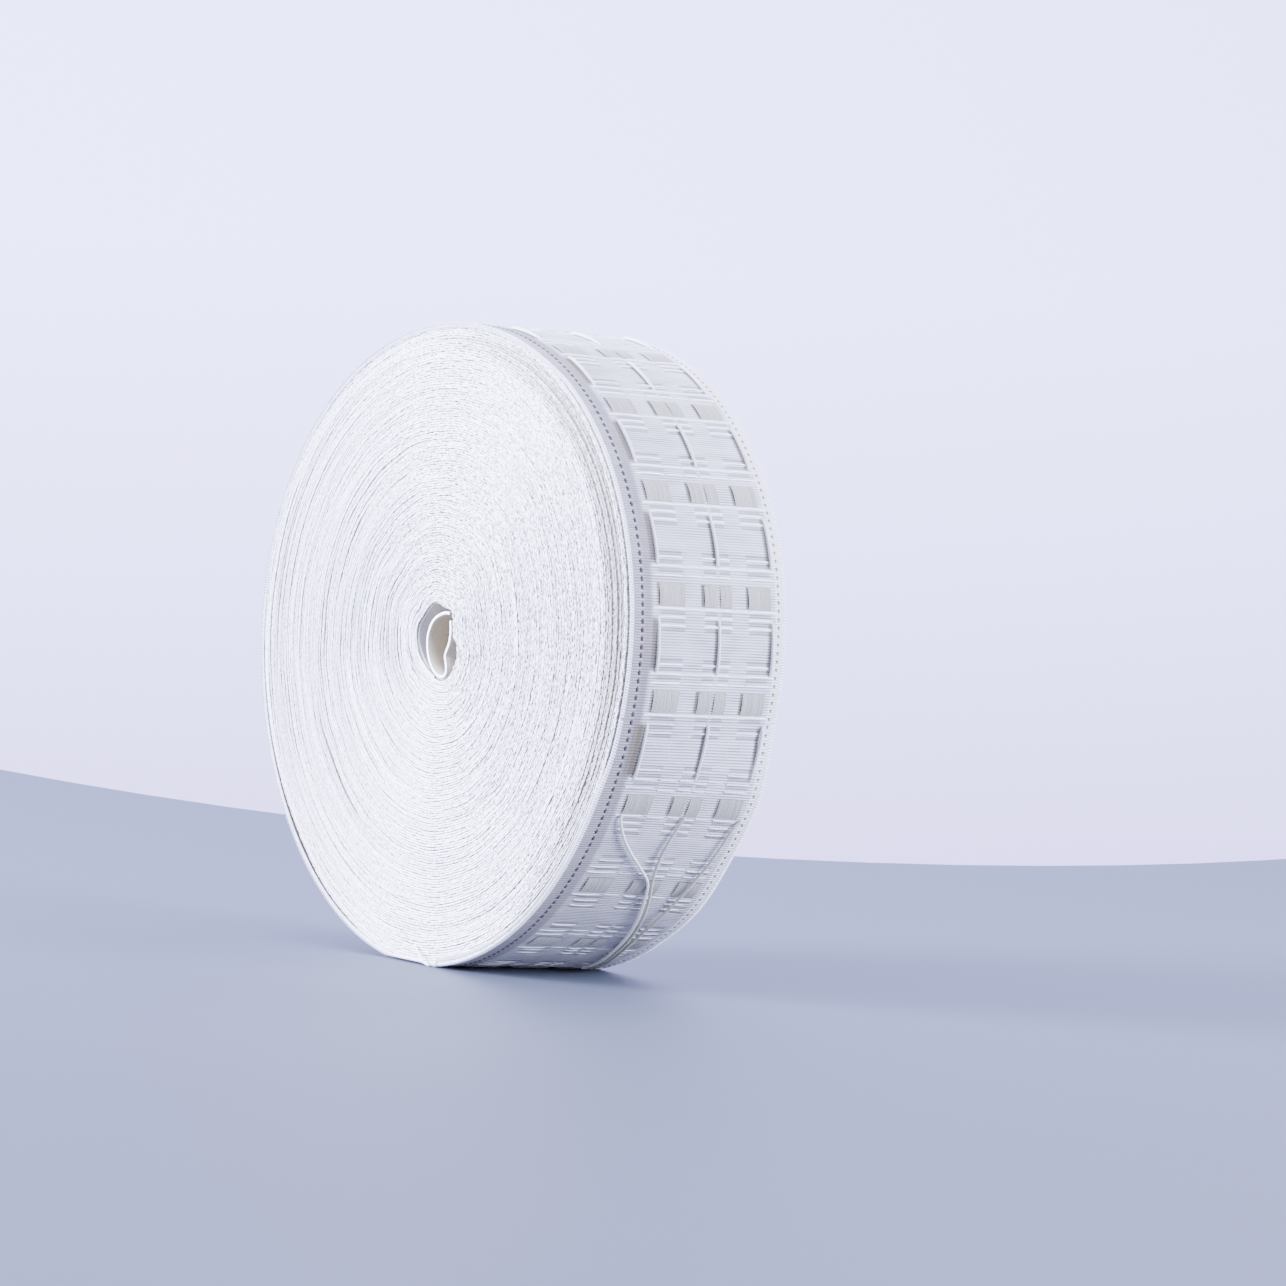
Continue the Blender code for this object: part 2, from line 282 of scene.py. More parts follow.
# %% Spin the draw cords
CORD_DIAMETER = 0.0012
PLIES = 3
PLY_PITCH = 0.0034
RIDGE_HEIGHT = 0.20
RING_STEP = 0.00045
RING_SIDES = 15
CORD_ROUTES = {
    "near": (
        (0.1108, -0.0230, 0.0692), (0.1096, -0.0225, 0.0662), (0.1062, -0.0178, 0.0598),
        (0.1027, -0.0116, 0.0542), (0.0984, -0.0032, 0.0478), (0.0940, 0.0041, 0.0417),
        (0.0877, 0.0079, 0.0345), (0.0795, 0.0118, 0.0267), (0.0689, 0.0156, 0.0188),
        (0.0584, 0.0181, 0.0124), (0.0467, 0.0206, 0.0066), (0.0378, 0.0221, 0.0034),
        (0.0306, 0.0229, 0.0015),
    ),
    "middle": (
        (0.1120, 0.0058, 0.0687), (0.1101, 0.0047, 0.0649), (0.1064, 0.0034, 0.0586),
        (0.1023, 0.0032, 0.0526), (0.0976, 0.0045, 0.0462), (0.0934, 0.0066, 0.0407),
        (0.0878, 0.0101, 0.0344), (0.0796, 0.0140, 0.0266), (0.0689, 0.0177, 0.0188),
        (0.0584, 0.0202, 0.0124), (0.0467, 0.0227, 0.0066), (0.0378, 0.0241, 0.0034),
        (0.0306, 0.0249, 0.0014),
    ),
    "far": (
        (0.1135, 0.0319, 0.0679), (0.1114, 0.0296, 0.0641), (0.1066, 0.0282, 0.0566),
        (0.1013, 0.0268, 0.0492), (0.0966, 0.0250, 0.0432), (0.0913, 0.0234, 0.0369),
        (0.0851, 0.0219, 0.0307), (0.0775, 0.0209, 0.0245), (0.0669, 0.0212, 0.0173),
        (0.0574, 0.0225, 0.0117), (0.0467, 0.0247, 0.0065), (0.0378, 0.0263, 0.0033),
        (0.0306, 0.0270, 0.0013),
    ),
}


def smooth_route(route, step):
    """Points at even steps along a smooth curve through the given ones, and its length."""
    given = np.array(route, dtype=float)
    given = np.vstack((2 * given[0] - given[1], given, 2 * given[-1] - given[-2]))
    share = np.linspace(0, 1, 12, endpoint=False)[:, None]
    fine = []
    for a, b, c, d in zip(given, given[1:], given[2:], given[3:]):
        bend = 2 * a - 5 * b + 4 * c - d
        twist = 3 * b - 3 * c + d - a
        fine.append(b + 0.5 * share * ((c - a) + share * (bend + share * twist)))
    fine = np.vstack(fine + [given[-2:-1]])
    run = distances(fine)
    places = np.linspace(0, run[-1], max(2, round(run[-1] / step)))
    return np.stack([np.interp(places, run, fine[:, i]) for i in range(3)], axis=-1), run[-1]


def spin_cord(name, route, diameter=CORD_DIAMETER):
    """A spun cord along a route."""
    line, length = smooth_route(route, RING_STEP)
    along = unit(np.gradient(line, axis=0))
    aside = unit(np.cross(along, (0.0, 1.0, 0.0)))
    over = np.cross(along, aside)
    around = np.linspace(0, 2 * math.pi, RING_SIDES, endpoint=False)
    spin = np.arange(len(line))[:, None] * RING_STEP / PLY_PITCH * 2 * math.pi
    ridge = 1 - RIDGE_HEIGHT + RIDGE_HEIGHT * np.abs(np.cos(PLIES / 2 * (around - spin)))
    reach = (diameter / 2 * ridge)[..., None]
    turn = around[None, :, None]
    rings = aside[:, None] * np.cos(turn) + over[:, None] * np.sin(turn)
    points = line[:, None] + rings * reach
    points[..., 2] = np.maximum(points[..., 2], FLOOR_GAP)
    faces = grid_faces(RING_SIDES, len(line), close=True)
    ends = [list(range(0, RING_SIDES * len(line), len(line)))]
    ends.append([number + len(line) - 1 for number in ends[0]][::-1])
    obj = make_object(name, points.transpose(1, 0, 2), faces.tolist() + ends)
    turn_outwards(obj)
    return obj, length


draw_cords = []
for cord_name, route in CORD_ROUTES.items():
    draw_cord, cord_length = spin_cord("spun_cord_" + cord_name, route)
    cord_path, _ = smooth_route(route, 0.002)
    dress(draw_cord, "draw_cord_" + cord_name)
    draw_cords.append(draw_cord)
    print(cord_name, "cord is", round(cord_length * 1000), "mm long")

# %% [markdown]
# ## Writing nodes as sums
#
# Materials and Geometry Nodes are both networks of nodes. Wiring them by hand takes many lines, so
# one small class stands for a socket and lets Python's own signs add the Math nodes. A second class
# adds any other node: its type, the values or links of its sockets, then its settings.

# %% A number from a socket, and a helper that adds nodes


class Number:
    """One output socket, which takes part in sums as a plain number does."""

    def __init__(self, nodes, socket):
        self.nodes = nodes
        self.socket = socket

    def sum(self, operation, *values):
        return self.nodes.add("ShaderNodeMath", dict(enumerate(values)), operation=operation)

    def __add__(self, other):
        return self.sum("ADD", self, other)

    __radd__ = __add__

    def __sub__(self, other):
        return self.sum("SUBTRACT", self, other)

    def __rsub__(self, other):
        return self.sum("SUBTRACT", other, self)

    def __mul__(self, other):
        return self.sum("MULTIPLY", self, other)

    __rmul__ = __mul__

    def __truediv__(self, other):
        return self.sum("DIVIDE", self, other)

    def __pow__(self, other):
        return self.sum("POWER", self, other)

    def __mod__(self, other):
        return self.sum("FLOORED_MODULO", self, other)

    def __abs__(self):
        return self.sum("ABSOLUTE", self)

    def at_most(self, other):
        return self.sum("MINIMUM", self, other)

    def at_least(self, other):
        return self.sum("MAXIMUM", self, other)

    def sine(self):
        return self.sum("SINE", self)

    def cosine(self):
        return self.sum("COSINE", self)

    def held(self):
        """The same number, held between nought and one."""
        return self.at_least(0.0).at_most(1.0)

    def within(self, low, high, edge):
        """One between two limits and nought outside, with soft edges."""
        middle, half = (low + high) / 2, (high - low) / 2
        return ((half - abs(self - middle)) / edge + 0.5).held()

    def output(self, name):
        """Another output of the same node."""
        return Number(self.nodes, self.socket.node.outputs[name])


class Nodes:
    """Adds nodes to one tree."""

    def __init__(self, tree):
        self.tree = tree

    def add(self, kind, sockets=None, **settings):
        node = self.tree.nodes.new(kind)
        for name, value in settings.items():
            setattr(node, name, value)
        for key, value in (sockets or {}).items():
            found = [s for s in node.inputs if s.enabled and key in (s.identifier, s.name)]
            socket = node.inputs[key] if isinstance(key, int) else found[0]
            if isinstance(value, Number):
                self.tree.links.new(value.socket, socket)
            else:
                socket.default_value = value
        shown = [s for s in node.outputs if s.enabled]
        return Number(self, shown[0]) if shown else None


print("the node helpers are ready")

# %% [markdown]
# ## Cloth finishes
#
# Every finish here is matt fabric: rough, hardly shiny, with a little sheen from loose fibres. What
# differs is the colour and the small relief. A helper makes the shader with its constant values and
# hands back the nodes, so each finish only says what is its own.

# %% A helper for matt fabric


class Fabric(Nodes):
    """A fabric material whose colour and relief are made from nodes."""

    def __init__(self, name, roughness=0.92, sheen=0.15):
        self.material = bpy.data.materials.new(name)
        self.material.use_nodes = True
        super().__init__(self.material.node_tree)
        self.shader = next(n for n in self.tree.nodes if n.type == "BSDF_PRINCIPLED")
        self.shader.inputs["Roughness"].default_value = roughness
        self.shader.inputs["Specular IOR Level"].default_value = 0.25
        self.shader.inputs["Sheen Weight"].default_value = sheen
        self.shader.inputs["Sheen Roughness"].default_value = 0.5

    def place(self):
        """Where a point lies on the object, in metres."""
        return self.add("ShaderNodeTexCoord").output("Object")

    def parts(self, vector):
        """The three parts of a vector."""
        first = self.add("ShaderNodeSeparateXYZ", {"Vector": vector})
        return first, first.output("Y"), first.output("Z")

    def attribute(self, name):
        """A number that the points of a piece carry."""
        return self.add("ShaderNodeAttribute", attribute_name=name).output("Fac")

    def grain(self, grains_per_metre, detail=2.0, stretch=(1, 1, 1)):
        """Soft random grain from nought to one, of a given fineness."""
        place_now = self.add("ShaderNodeMapping", {"Vector": self.place(), "Scale": stretch})
        sockets = {"Vector": place_now, "Scale": grains_per_metre, "Detail": detail}
        return self.add("ShaderNodeTexNoise", sockets)

    def blend(self, share, first, second):
        """A colour between two others."""
        sockets = {"Factor_Float": share, "A_Color": rgba(first), "B_Color": rgba(second)}
        return self.add("ShaderNodeMix", sockets, data_type="RGBA")

    def colour(self, colour):
        self.tree.links.new(colour.socket, self.shader.inputs["Base Color"])

    def relief(self, height, depth):
        """Bumps of a given depth in metres."""
        sockets = {"Height": height, "Distance": depth, "Strength": 1.0}
        bump = self.add("ShaderNodeBump", sockets)
        self.tree.links.new(bump.socket, self.shader.inputs["Normal"])


def rgba(colour):
    """A colour with its fourth part, as sockets want it; a link stays a link."""
    return colour if isinstance(colour, Number) else (*colour, 1.0)


print("fabric helper is ready")

# %% [markdown]
# ## The pattern of the weave
#
# The tape repeats every 40 mm or so. One repeat has a row of pockets, where grey-beige threads
# float on the surface, then white bars across the tape, then plain ribs with the three cords lying
# over them, and white bars again. The tables say where each of these lies: down the tape as a share
# of one repeat, and across it as a share of the tape's width. Both the finish of the ground and the
# raised threads read the same tables, so the tints always lie under their threads. On the hanging
# end the pattern has slipped down by about two millimetres, because that stretch is slack. The slip
# comes in smoothly, so no rib is cut in two.

# %% Tables of the pattern
REPEAT_DEG = 18.4
FIRST_POCKET_DEG = -4.4
SLIP_DEG = 0.9
RIBS_PER_REPEAT = 38
POCKET_ROW = (0.0, 0.21)
CORD_ROW = (0.31, 0.83)
CORD_LINES = (0.192, 0.574, 0.918)
POCKETS = ((0.202, 0.358), (0.484, 0.566), (0.586, 0.656), (0.766, 0.906))
# Painted shade in the pocket openings: width and strength for each pocket
POCKET_SLOT_SHADES = ((0.019, 0.9), (0.024, 1.0), (0.013, 0.5), (0.021, 1.0))
LONG_BARS = (0.238, 0.845, 0.932)
SHORT_BARS = (0.316, 0.396, 0.756)
GREY_BARS = (0.277, 0.356, 0.436, 0.715, 0.800, 0.888)
NEAR_STRIP = (0.022, 0.152)
NEAR_GUIDE, FAR_GUIDE = 0.091, 0.956
GUIDES_PER_REPEAT = 12.667
FREE_CORDS_FROM = 1.28


def slipped(deg):
    """How far, in degrees, the slack of the hanging end has let the pattern slip down."""
    part = np.clip((-9.0 - np.asarray(deg)) / 14.0, 0.0, 1.0)
    return SLIP_DEG * soft_step(part)


def downwards(deg):
    """How many repeats an angle lies below the top of the first pocket."""
    return (FIRST_POCKET_DEG - deg - slipped(deg)) / REPEAT_DEG


def angle_at(repeats):
    """The angle that lies a number of repeats below the top of the first pocket."""
    even = FIRST_POCKET_DEG - np.asarray(repeats) * REPEAT_DEG
    deg = even
    for _ in range(4):
        deg = even - slipped(deg)
    return deg


print("one repeat is", round(math.radians(REPEAT_DEG) * ROLL_RADIUS * 1000, 1), "mm long")

# %% [markdown]
# ### The woven ground
#
# The ground is white with a hint of lilac. Painted shade makes it a little greyer towards the near
# edge and down the loose end, where less light falls, and its far border is a plain white selvedge.
# The finish also paints shade on the strip beside the near edge and in the valleys between the
# ribs, tints the pockets and the dim bars between the white ones, and paints dark shade in the
# slots where a pocket opens and shadow beside each cord where it stands off the cloth. Down the
# loose end the painted shade of the pocket slots fades. All of this is read from the UV map, where
# U counts repeats down the tape and V runs across it, so the same finish serves the roll and its
# loose end.

# %% The finish of the woven ground
# The valley, strip, falloff and slot colours below are painted shade; the rest are the weave's own
# colours.
WHITE = (0.85, 0.85, 0.93)
VALLEY_SHADE_TINT = (0.19, 0.18, 0.19)
STRIP_SHADE_TINT = (0.27, 0.25, 0.27)
FALLOFF_SHADE_TINT = (0.38, 0.37, 0.38)
FAR_BORDER_TINT = (0.98, 0.98, 1.0)
POCKET_TINT = (0.20, 0.19, 0.16)
DIM_TINT = (0.20, 0.19, 0.20)
SLOT_SHADE_TINT = (0.125, 0.105, 0.075)

ground = Fabric("woven_ground")
on_tape = ground.add("ShaderNodeUVMap", uv_map="weave")
down, over, _ = ground.parts(on_tape)
share = down % 1.0
colour = ground.blend(ground.grain(55.0) * 0.5, WHITE, (0.77, 0.77, 0.87))
rib = (down * (2 * math.pi * RIBS_PER_REPEAT)).cosine() * 0.5 + 0.5
broken = ground.grain(240.0, 1.0, (1, 0.25, 1))
# Painted shade on the near strip: darker beside the guide threads and further down, where less
# light falls
deeper_below = ((down + 1.0) * 0.15).at_least(0.0).at_most(0.26)
beside_guide = over.within(0.100, 0.300, 0.03) * 0.35
strip = over.within(*NEAR_STRIP, 0.024) * (beside_guide + 0.50 + deeper_below)
# Painted shade: greyer towards the near edge and further down the loose end, where less light falls
falloff_shade = (over * -0.40 + 0.36).at_least(0.0) + ((down - 0.7) * 0.28).at_least(0.0).at_most(0.40)
colour = ground.blend(falloff_shade.at_most(1.0), colour, FALLOFF_SHADE_TINT)
far_border = over.within(0.935, 1.01, 0.012)
colour = ground.blend(far_border * 0.95, colour, FAR_BORDER_TINT)
colour = ground.blend(strip, colour, STRIP_SHADE_TINT)
# Painted shade: the valleys between the ribs are darkened, less on the far border
valleys = (rib * (broken * 1.3)).at_most(1.0) * (far_border * -0.75 + 1.0)
colour = ground.blend(valleys, colour, VALLEY_SHADE_TINT)
in_columns = sum(over.within(low, high, 0.012) for low, high in POCKETS)
dim = sum(share.within(bar - 0.016, bar + 0.016, 0.012) for bar in GREY_BARS)
colour = ground.blend((dim * in_columns * 0.6).at_most(1.0), colour, DIM_TINT)
pocket_rows = share.within(*POCKET_ROW, 0.01)
colour = ground.blend((pocket_rows * in_columns).at_most(1.0), colour, POCKET_TINT)
# Painted shade in the pocket openings and painted shadows beside the cords that stand off the
# cloth, wider left of the near cord further down; the pocket slot shade fades down the loose end
pocket_slot_shade = sum(
    over.within(low - width, low + 0.004, 0.011) * dark
    for (low, _), (width, dark) in zip(POCKETS, POCKET_SLOT_SHADES)
)
cord_shadows = (
    over.within(0.150, 0.186, 0.020) + over.within(0.548, 0.568, 0.012)
    + over.within(0.581, 0.590, 0.010) * 0.6 + over.within(0.890, 0.912, 0.012) * 0.9
    + over.within(0.112, 0.160, 0.020) * ((down + 0.1) * 2.0).at_least(0.0).at_most(0.75)
)
cord_rows = share.within(CORD_ROW[0] + 0.02, CORD_ROW[1] - 0.02, 0.05)
cord_rows = cord_rows * down.within(-99.0, FREE_CORDS_FROM, 0.02)
slot_shade_fade = (down * -0.40 + 1.30).at_most(1.0).at_least(0.45)
slots = (pocket_rows * pocket_slot_shade * slot_shade_fade * 0.95 + cord_rows * cord_shadows * 0.9).at_most(1.0)
colour = ground.blend(slots, colour, SLOT_SHADE_TINT)
ground.colour(colour)
warp = (over * (2 * math.pi * 210)).sine() * 0.5
ground.relief(warp - rib * 2.5 + ground.grain(2200.0, 1.0) * 1.5, 0.00012)
print("woven ground:", len(ground.tree.nodes), "nodes")

# %% [markdown]
# ### The other yarns
#
# The wound edges of the turns, the yarns of the bars and pockets, the dark guide threads, the cords
# and the plain back of the tape each get a finish of their own. They have fine grain at the scale
# of fibres, about a tenth of a millimetre deep. Some are lighter and darker copies of one yarn, as
# painted light and shade: a darker white yarn for the bars of the loose end, a lighter guide yarn
# for the far guide threads and a greyer cord yarn for two of the three cords. The plain back is the
# tape's beige back, painted darker and warmer as shade and warm reflected light in the hole. The
# wound edges need more: they get painted shade that grows with depth, as in the cracks between
# turns, and they read three attributes that the spiral will carry. "wall" marks the two flanks of
# each turn, "hollow" the small pits between its loops, and the third the soft grey bands of painted
# shade that run along some turns. The painted shade of flanks and pits is weaker towards the top of
# the roll, where the turns lie tight and level.

# %% The finishes of the yarns and edges


def yarn(name, light, dark, fineness=900.0, stretch=(1, 1, 1), depth=0.00008):
    """A yarn finish between two near colours."""
    made = Fabric(name)
    fibres = made.grain(fineness, 2.0, stretch)
    made.colour(made.blend(fibres, light, dark))
    made.relief(made.grain(fineness * 3, 1.0, stretch), depth)
    return made.material


white_yarn = yarn("white_yarn", (0.94, 0.93, 0.99), (0.83, 0.82, 0.91))
# Painted shade: a darker copy of the white yarn, for the bars of the loose end
slack_yarn = yarn("slack_yarn", (0.78, 0.77, 0.81), (0.60, 0.59, 0.63))
pocket_yarn = yarn("pocket_yarn", (0.47, 0.455, 0.425), (0.30, 0.295, 0.27), 1500.0)
cord_yarn = yarn("cord_yarn", (0.86, 0.85, 0.83), (0.56, 0.55, 0.54), 1200.0)
# Painted shade: a greyer copy of the cord yarn, for the middle and far cords
greyer_cord_yarn = yarn("greyer_cord_yarn", (0.56, 0.54, 0.47), (0.33, 0.32, 0.26), 1200.0)
dark_guide = yarn("dark_guide", (0.075, 0.058, 0.068), (0.036, 0.028, 0.036))
# Painted light: a lighter copy of the guide yarn, for the far guide threads
pale_guide = yarn("pale_guide", (0.26, 0.25, 0.29), (0.17, 0.16, 0.19))
coarse = {"fineness": 1400.0, "stretch": (1, 0.3, 1), "depth": 0.00015}
hole_lining = yarn("hole_lining", (0.40, 0.40, 0.42), (0.28, 0.28, 0.30), **coarse)
# Painted shade and warm reflected light: the tape's beige back, darker and warmer, for the inner
# start in the hole
plain_back = yarn("plain_back", (0.38, 0.33, 0.24), (0.32, 0.28, 0.205), **coarse)

edges = Fabric("wound_edges")
_, along_axis, height = edges.parts(edges.place())
# Painted shade in the cracks: the further in an edge lies, the darker it is
depth_in = (TAPE_WIDTH / 2 - 0.0004 - abs(along_axis)) / 0.0014
colour = edges.blend(edges.grain(420.0, 3.0), (0.940, 0.935, 1.0), (0.84, 0.838, 0.945))
# Painted shade: soft grey bands along some turns
colour = edges.blend(edges.attribute("shade_bands"), colour, (0.46, 0.455, 0.52))
colour = edges.blend(depth_in.held(), colour, (0.24, 0.22, 0.20))
# Painted shade on the flanks of the turns and, with a random speckle, in the pits between their
# loops; weaker towards the top
less_above = ((height - 0.14) * -5.5 + 1.0).at_most(1.0).at_least(0.52)
flanks = (edges.attribute("wall") * 7.0 - 0.3).held()
colour = edges.blend(flanks * less_above, colour, (0.135, 0.12, 0.10))
speckle = (edges.grain(620.0) * 4.0 - 1.7).held()
pits = (edges.attribute("hollow") * 0.80 + speckle * 0.30).at_most(1.0)
colour = edges.blend(pits * less_above, colour, (0.24, 0.22, 0.21))
edges.colour(colour)
edges.relief(edges.grain(620.0) * 1.6, 0.0005)
# The near cord keeps the cord yarn; the middle and far cords get its greyer copy, painted shade
for draw_cord, finish in zip(draw_cords, (cord_yarn, greyer_cord_yarn, greyer_cord_yarn)):
    draw_cord.data.materials.append(finish)
print("yarn finishes:", [material.name for material in bpy.data.materials])

# %% [markdown]
# ## The wound turns
#
# From the side a roll is one long spiral: the woven edge of the tape, about 112 turns of it. It
# could be drawn as rings or painted with stripes, but rings never cross from turn to turn and
# stripes have no depth. Here the spiral is one line of points, and Geometry Nodes draw a small
# rounded edge along it. Random widths part the turns a little here and there, random depths let
# some lie lower, and a short table adds the long gaps where turns have come apart. The tree scales
# the drawn edge by the attribute "fullness" from point to point, and writes the attribute "wall" on
# its flanks, for the finish to read.

# %% Run a Geometry Nodes tree and keep its result


def new_tree(name, inputs):
    """A Geometry Nodes tree with named inputs; returns its nodes and its inputs."""
    tree = bpy.data.node_groups.new(name, "GeometryNodeTree")
    tree.interface.new_socket("Geometry", in_out="OUTPUT", socket_type="NodeSocketGeometry")
    tree.interface.new_socket("Geometry", in_out="INPUT", socket_type="NodeSocketGeometry")
    for label, kind in inputs:
        tree.interface.new_socket(label, in_out="INPUT", socket_type="NodeSocket" + kind)
    nodes = Nodes(tree)
    return nodes, nodes.add("NodeGroupInput")


def close_tree(nodes, geometry, finish):
    """Ends a tree: copies become real faces and get their finish."""
    geometry = nodes.add("GeometryNodeRealizeInstances", {"Geometry": geometry})
    dressed = nodes.add("GeometryNodeSetMaterial", {"Geometry": geometry, "Material": finish})
    nodes.add("NodeGroupOutput", {"Geometry": dressed})


def grow(name, source, tree, sizes):
    """Runs a tree on an object and keeps the result as a plain mesh in a new object."""
    modifier = source.modifiers.new("grow", "NODES")
    modifier.node_group = tree
    for item in tree.interface.items_tree:
        if item.in_out == "INPUT" and item.name in sizes:
            modifier[item.identifier] = sizes[item.name]
    ready = source.evaluated_get(bpy.context.evaluated_depsgraph_get())
    data = bpy.data.meshes.new_from_object(ready)
    data.name = name
    bpy.data.objects.remove(source)
    return show(name, data)


EDGE_INPUTS = (
    ("Edge width", "Float"),
    ("Edge depth", "Float"),
    ("Facing", "Vector"),
    ("Finish", "Material"),
)
edge_nodes, inputs = new_tree("draw_wound_edge", EDGE_INPUTS)
number = (edge_nodes.add("GeometryNodeInputIndex") - 1.5) / 1.5
flat_side = (number * 2.3).at_least(-1.0).at_most(1.0) * (inputs.output("Edge width") * 0.5)
wall = abs(number) ** 3
drop = wall * inputs.output("Edge depth") * -1.0
shape_point = edge_nodes.add("ShaderNodeCombineXYZ", {"X": drop, "Y": flat_side})
profile = edge_nodes.add("GeometryNodeMeshLine", {"Count": 4})
marked = {"Geometry": profile, "Name": "wall", "Value": wall}
profile = edge_nodes.add("GeometryNodeStoreNamedAttribute", marked, data_type="FLOAT")
moved = {"Geometry": profile, "Position": shape_point}
profile = edge_nodes.add("GeometryNodeSetPosition", moved)
profile = edge_nodes.add("GeometryNodeMeshToCurve", {"Mesh": profile})
spiral = edge_nodes.add("GeometryNodeMeshToCurve", {"Mesh": inputs.output("Geometry")})
facing = {"Curve": spiral, "Normal": inputs.output("Facing")}
spiral = edge_nodes.add("GeometryNodeSetCurveNormal", facing, mode="FREE")
fullness = edge_nodes.add(
    "GeometryNodeInputNamedAttribute", {"Name": "fullness"}, data_type="FLOAT"
)
sweep = {"Curve": spiral, "Profile Curve": profile, "Scale": fullness}
swept = edge_nodes.add("GeometryNodeCurveToMesh", sweep)
swept = edge_nodes.add("GeometryNodeSetShadeSmooth", {"Geometry": swept})
close_tree(edge_nodes, swept, inputs.output("Finish"))
print("edge tree:", len(edge_nodes.tree.nodes), "nodes")

# %% [markdown]
# ### The path of the winding
#
# The hole is not round either, so each turn lies between the hole's outline and the roll's. The
# turns are counted inwards from the loose end. Each lies one tape thickness inside the one before,
# give or take some noise, and the sum is scaled so that the last turn meets the hole. The turns lie
# smoother at the upper right and at the bottom, where the roll was pressed, so the noise is less
# there. The last fifth of the first turn slips under the cut end.

# %% Lay the spiral
TURNS = 112
STEPS_PER_TURN = 196
END_CUT_DEG = -82.6
HOLE = (
    (4, 12.7), (11, 11.2), (27, 11.8), (41, 13.9), (53, 15.2), (68, 14.0), (78, 13.7), (93, 14.7),
    (103, 15.0), (116, 14.0), (135, 12.9), (157, 13.6), (180, 12.9), (195, 12.2), (215, 11.4),
    (235, 11.3), (256, 12.6), (272, 14.0), (286, 15.5), (298, 16.7), (307, 16.6), (317, 16.2),
    (330, 15.7), (343, 15.2), (353, 14.6),
)
# Turns that have come apart: share of the radius, middle and half of the arc, gap and drop in mm
PARTED = (
    (0.425, 165, 48, 0.4, 0.3), (0.455, 125, 22, 0.3, 0.2), (0.470, -28, 40, 0.3, 0.2),
    (0.560, -48, 28, 0.3, 0.2), (0.605, 150, 30, 0.4, 0.2), (0.660, 200, 30, 0.3, 0.2),
    (0.700, -141, 20, 0.5, 0.4), (0.722, -18, 60, 0.3, 0.2), (0.770, 165, 34, 0.3, 0.2),
    (0.819, 178, 38, 0.5, 0.4), (0.870, 190, 30, 0.3, 0.2), (0.905, 15, 66, 0.0, 0.5),
    (0.913, 18, 66, 0.2, 0.9), (0.921, 18, 72, 0.1, 0.8), (0.929, 20, 74, 0.3, 1.2),
    (0.937, 22, 74, 0.1, 0.8), (0.945, 16, 76, 0.1, 0.9), (0.953, 20, 76, 0.4, 1.4),
    (0.961, 15, 76, 0.1, 0.8), (0.968, 10, 76, 0.1, 1.0), (0.976, 8, 80, 0.5, 1.4),
    (0.955, 172, 36, 0.4, 0.3), (0.990, -132, 26, 0.8, 0.4), (0.992, 15, 60, 0.2, 0.0),
)


def wavering(count, every, seed):
    """Smooth noise between minus one and one along a line."""
    dice = np.random.default_rng(seed)
    knots = dice.uniform(-1, 1, count // every + 3)
    at = np.arange(count) / every
    low = at.astype(int)
    part = (1 - np.cos((at - low) * math.pi)) / 2
    return knots[low] * (1 - part) + knots[low + 1] * part


def hole_radius(deg):
    """Radius of the hole, smooth between the rows of its table."""
    around, radius = np.array(HOLE).T
    fine = np.interp(np.arange(0, 360, 2), around, radius, period=360)
    fine = sum(np.roll(fine, shift) for shift in (-2, -1, 0, 1, 2)) / 5
    return np.interp(deg, np.arange(0, 360, 2), fine, period=360) / 1000


def arc_window(deg, middle, half):
    """One in the middle of an arc, falling to nought at its ends."""
    away = np.abs((deg - middle + 180) % 360 - 180) / half
    return np.cos(np.pi / 2 * np.minimum(away, 1.0)) ** 0.7


count = TURNS * STEPS_PER_TURN
turned_by = np.arange(count) / STEPS_PER_TURN
winding_deg = END_CUT_DEG + 360 * turned_by
ease = np.clip((turned_by - 1) * 5, 0, 1)
rough_side = 1.0 - 0.65 * arc_window(winding_deg, 52, 95) - 0.40 * arc_window(winding_deg, -78, 70)
widths = 1 + ease * rough_side * (0.13 * wavering(count, 17, 11) + 0.13 * wavering(count, 5, 12))
drops = np.zeros(count)
which_turn = turned_by.astype(int)
for at_share, middle, half, gap, drop_mm in PARTED:
    turn = round((1 - at_share) / (1 - 0.11) * TURNS)
    here = arc_window(winding_deg, middle, half) * (which_turn == turn)
    widths += here * gap
    drops += here * drop_mm / 1000
jog = soft_step(np.clip((np.arange(STEPS_PER_TURN) / STEPS_PER_TURN - 0.8) / 0.2, 0, 1))
inwards = widths.reshape(TURNS, STEPS_PER_TURN).copy()
inwards[0] = jog
inwards = np.cumsum(inwards, axis=0)
inwards = (inwards / (inwards[-1] + 1 - jog)).ravel()
edge_pitch = (ROLL_RADIUS - 0.0135) / TURNS
outside = outline(winding_deg) - edge_pitch * 0.52
winding_radius = outside - (outside - hole_radius(winding_deg)) * inwards
print("turns lie", round(edge_pitch * 1000, 2), "mm apart, path of", count, "points")

# %% [markdown]
# ### Both faces
#
# The same spiral shows on both faces of the roll, because both are edges of one tape. The depths
# differ from face to face, since the tape is never wound quite true. Steps of equal angle would
# give coarse cloth outside and fine cloth inside, so the spiral is measured out again in steps of
# equal length, 0.8 mm on the shown face. Each step gets a pit of random depth, which is what makes
# the face look like a pile of woven loops. The near edge of the outermost turn is also set back a
# little along the upper right. The shown face is long, so it is made as two pieces.

# %% Draw the wound edges on both faces


def set_back(deg):
    """How far the near edge of the outermost turn is set back, at the upper right."""
    away = np.abs((np.asarray(deg) - 19 + 180) % 360 - 180) / 44
    return 0.0015 * np.clip((1.0 - away) * 5, 0, 1)


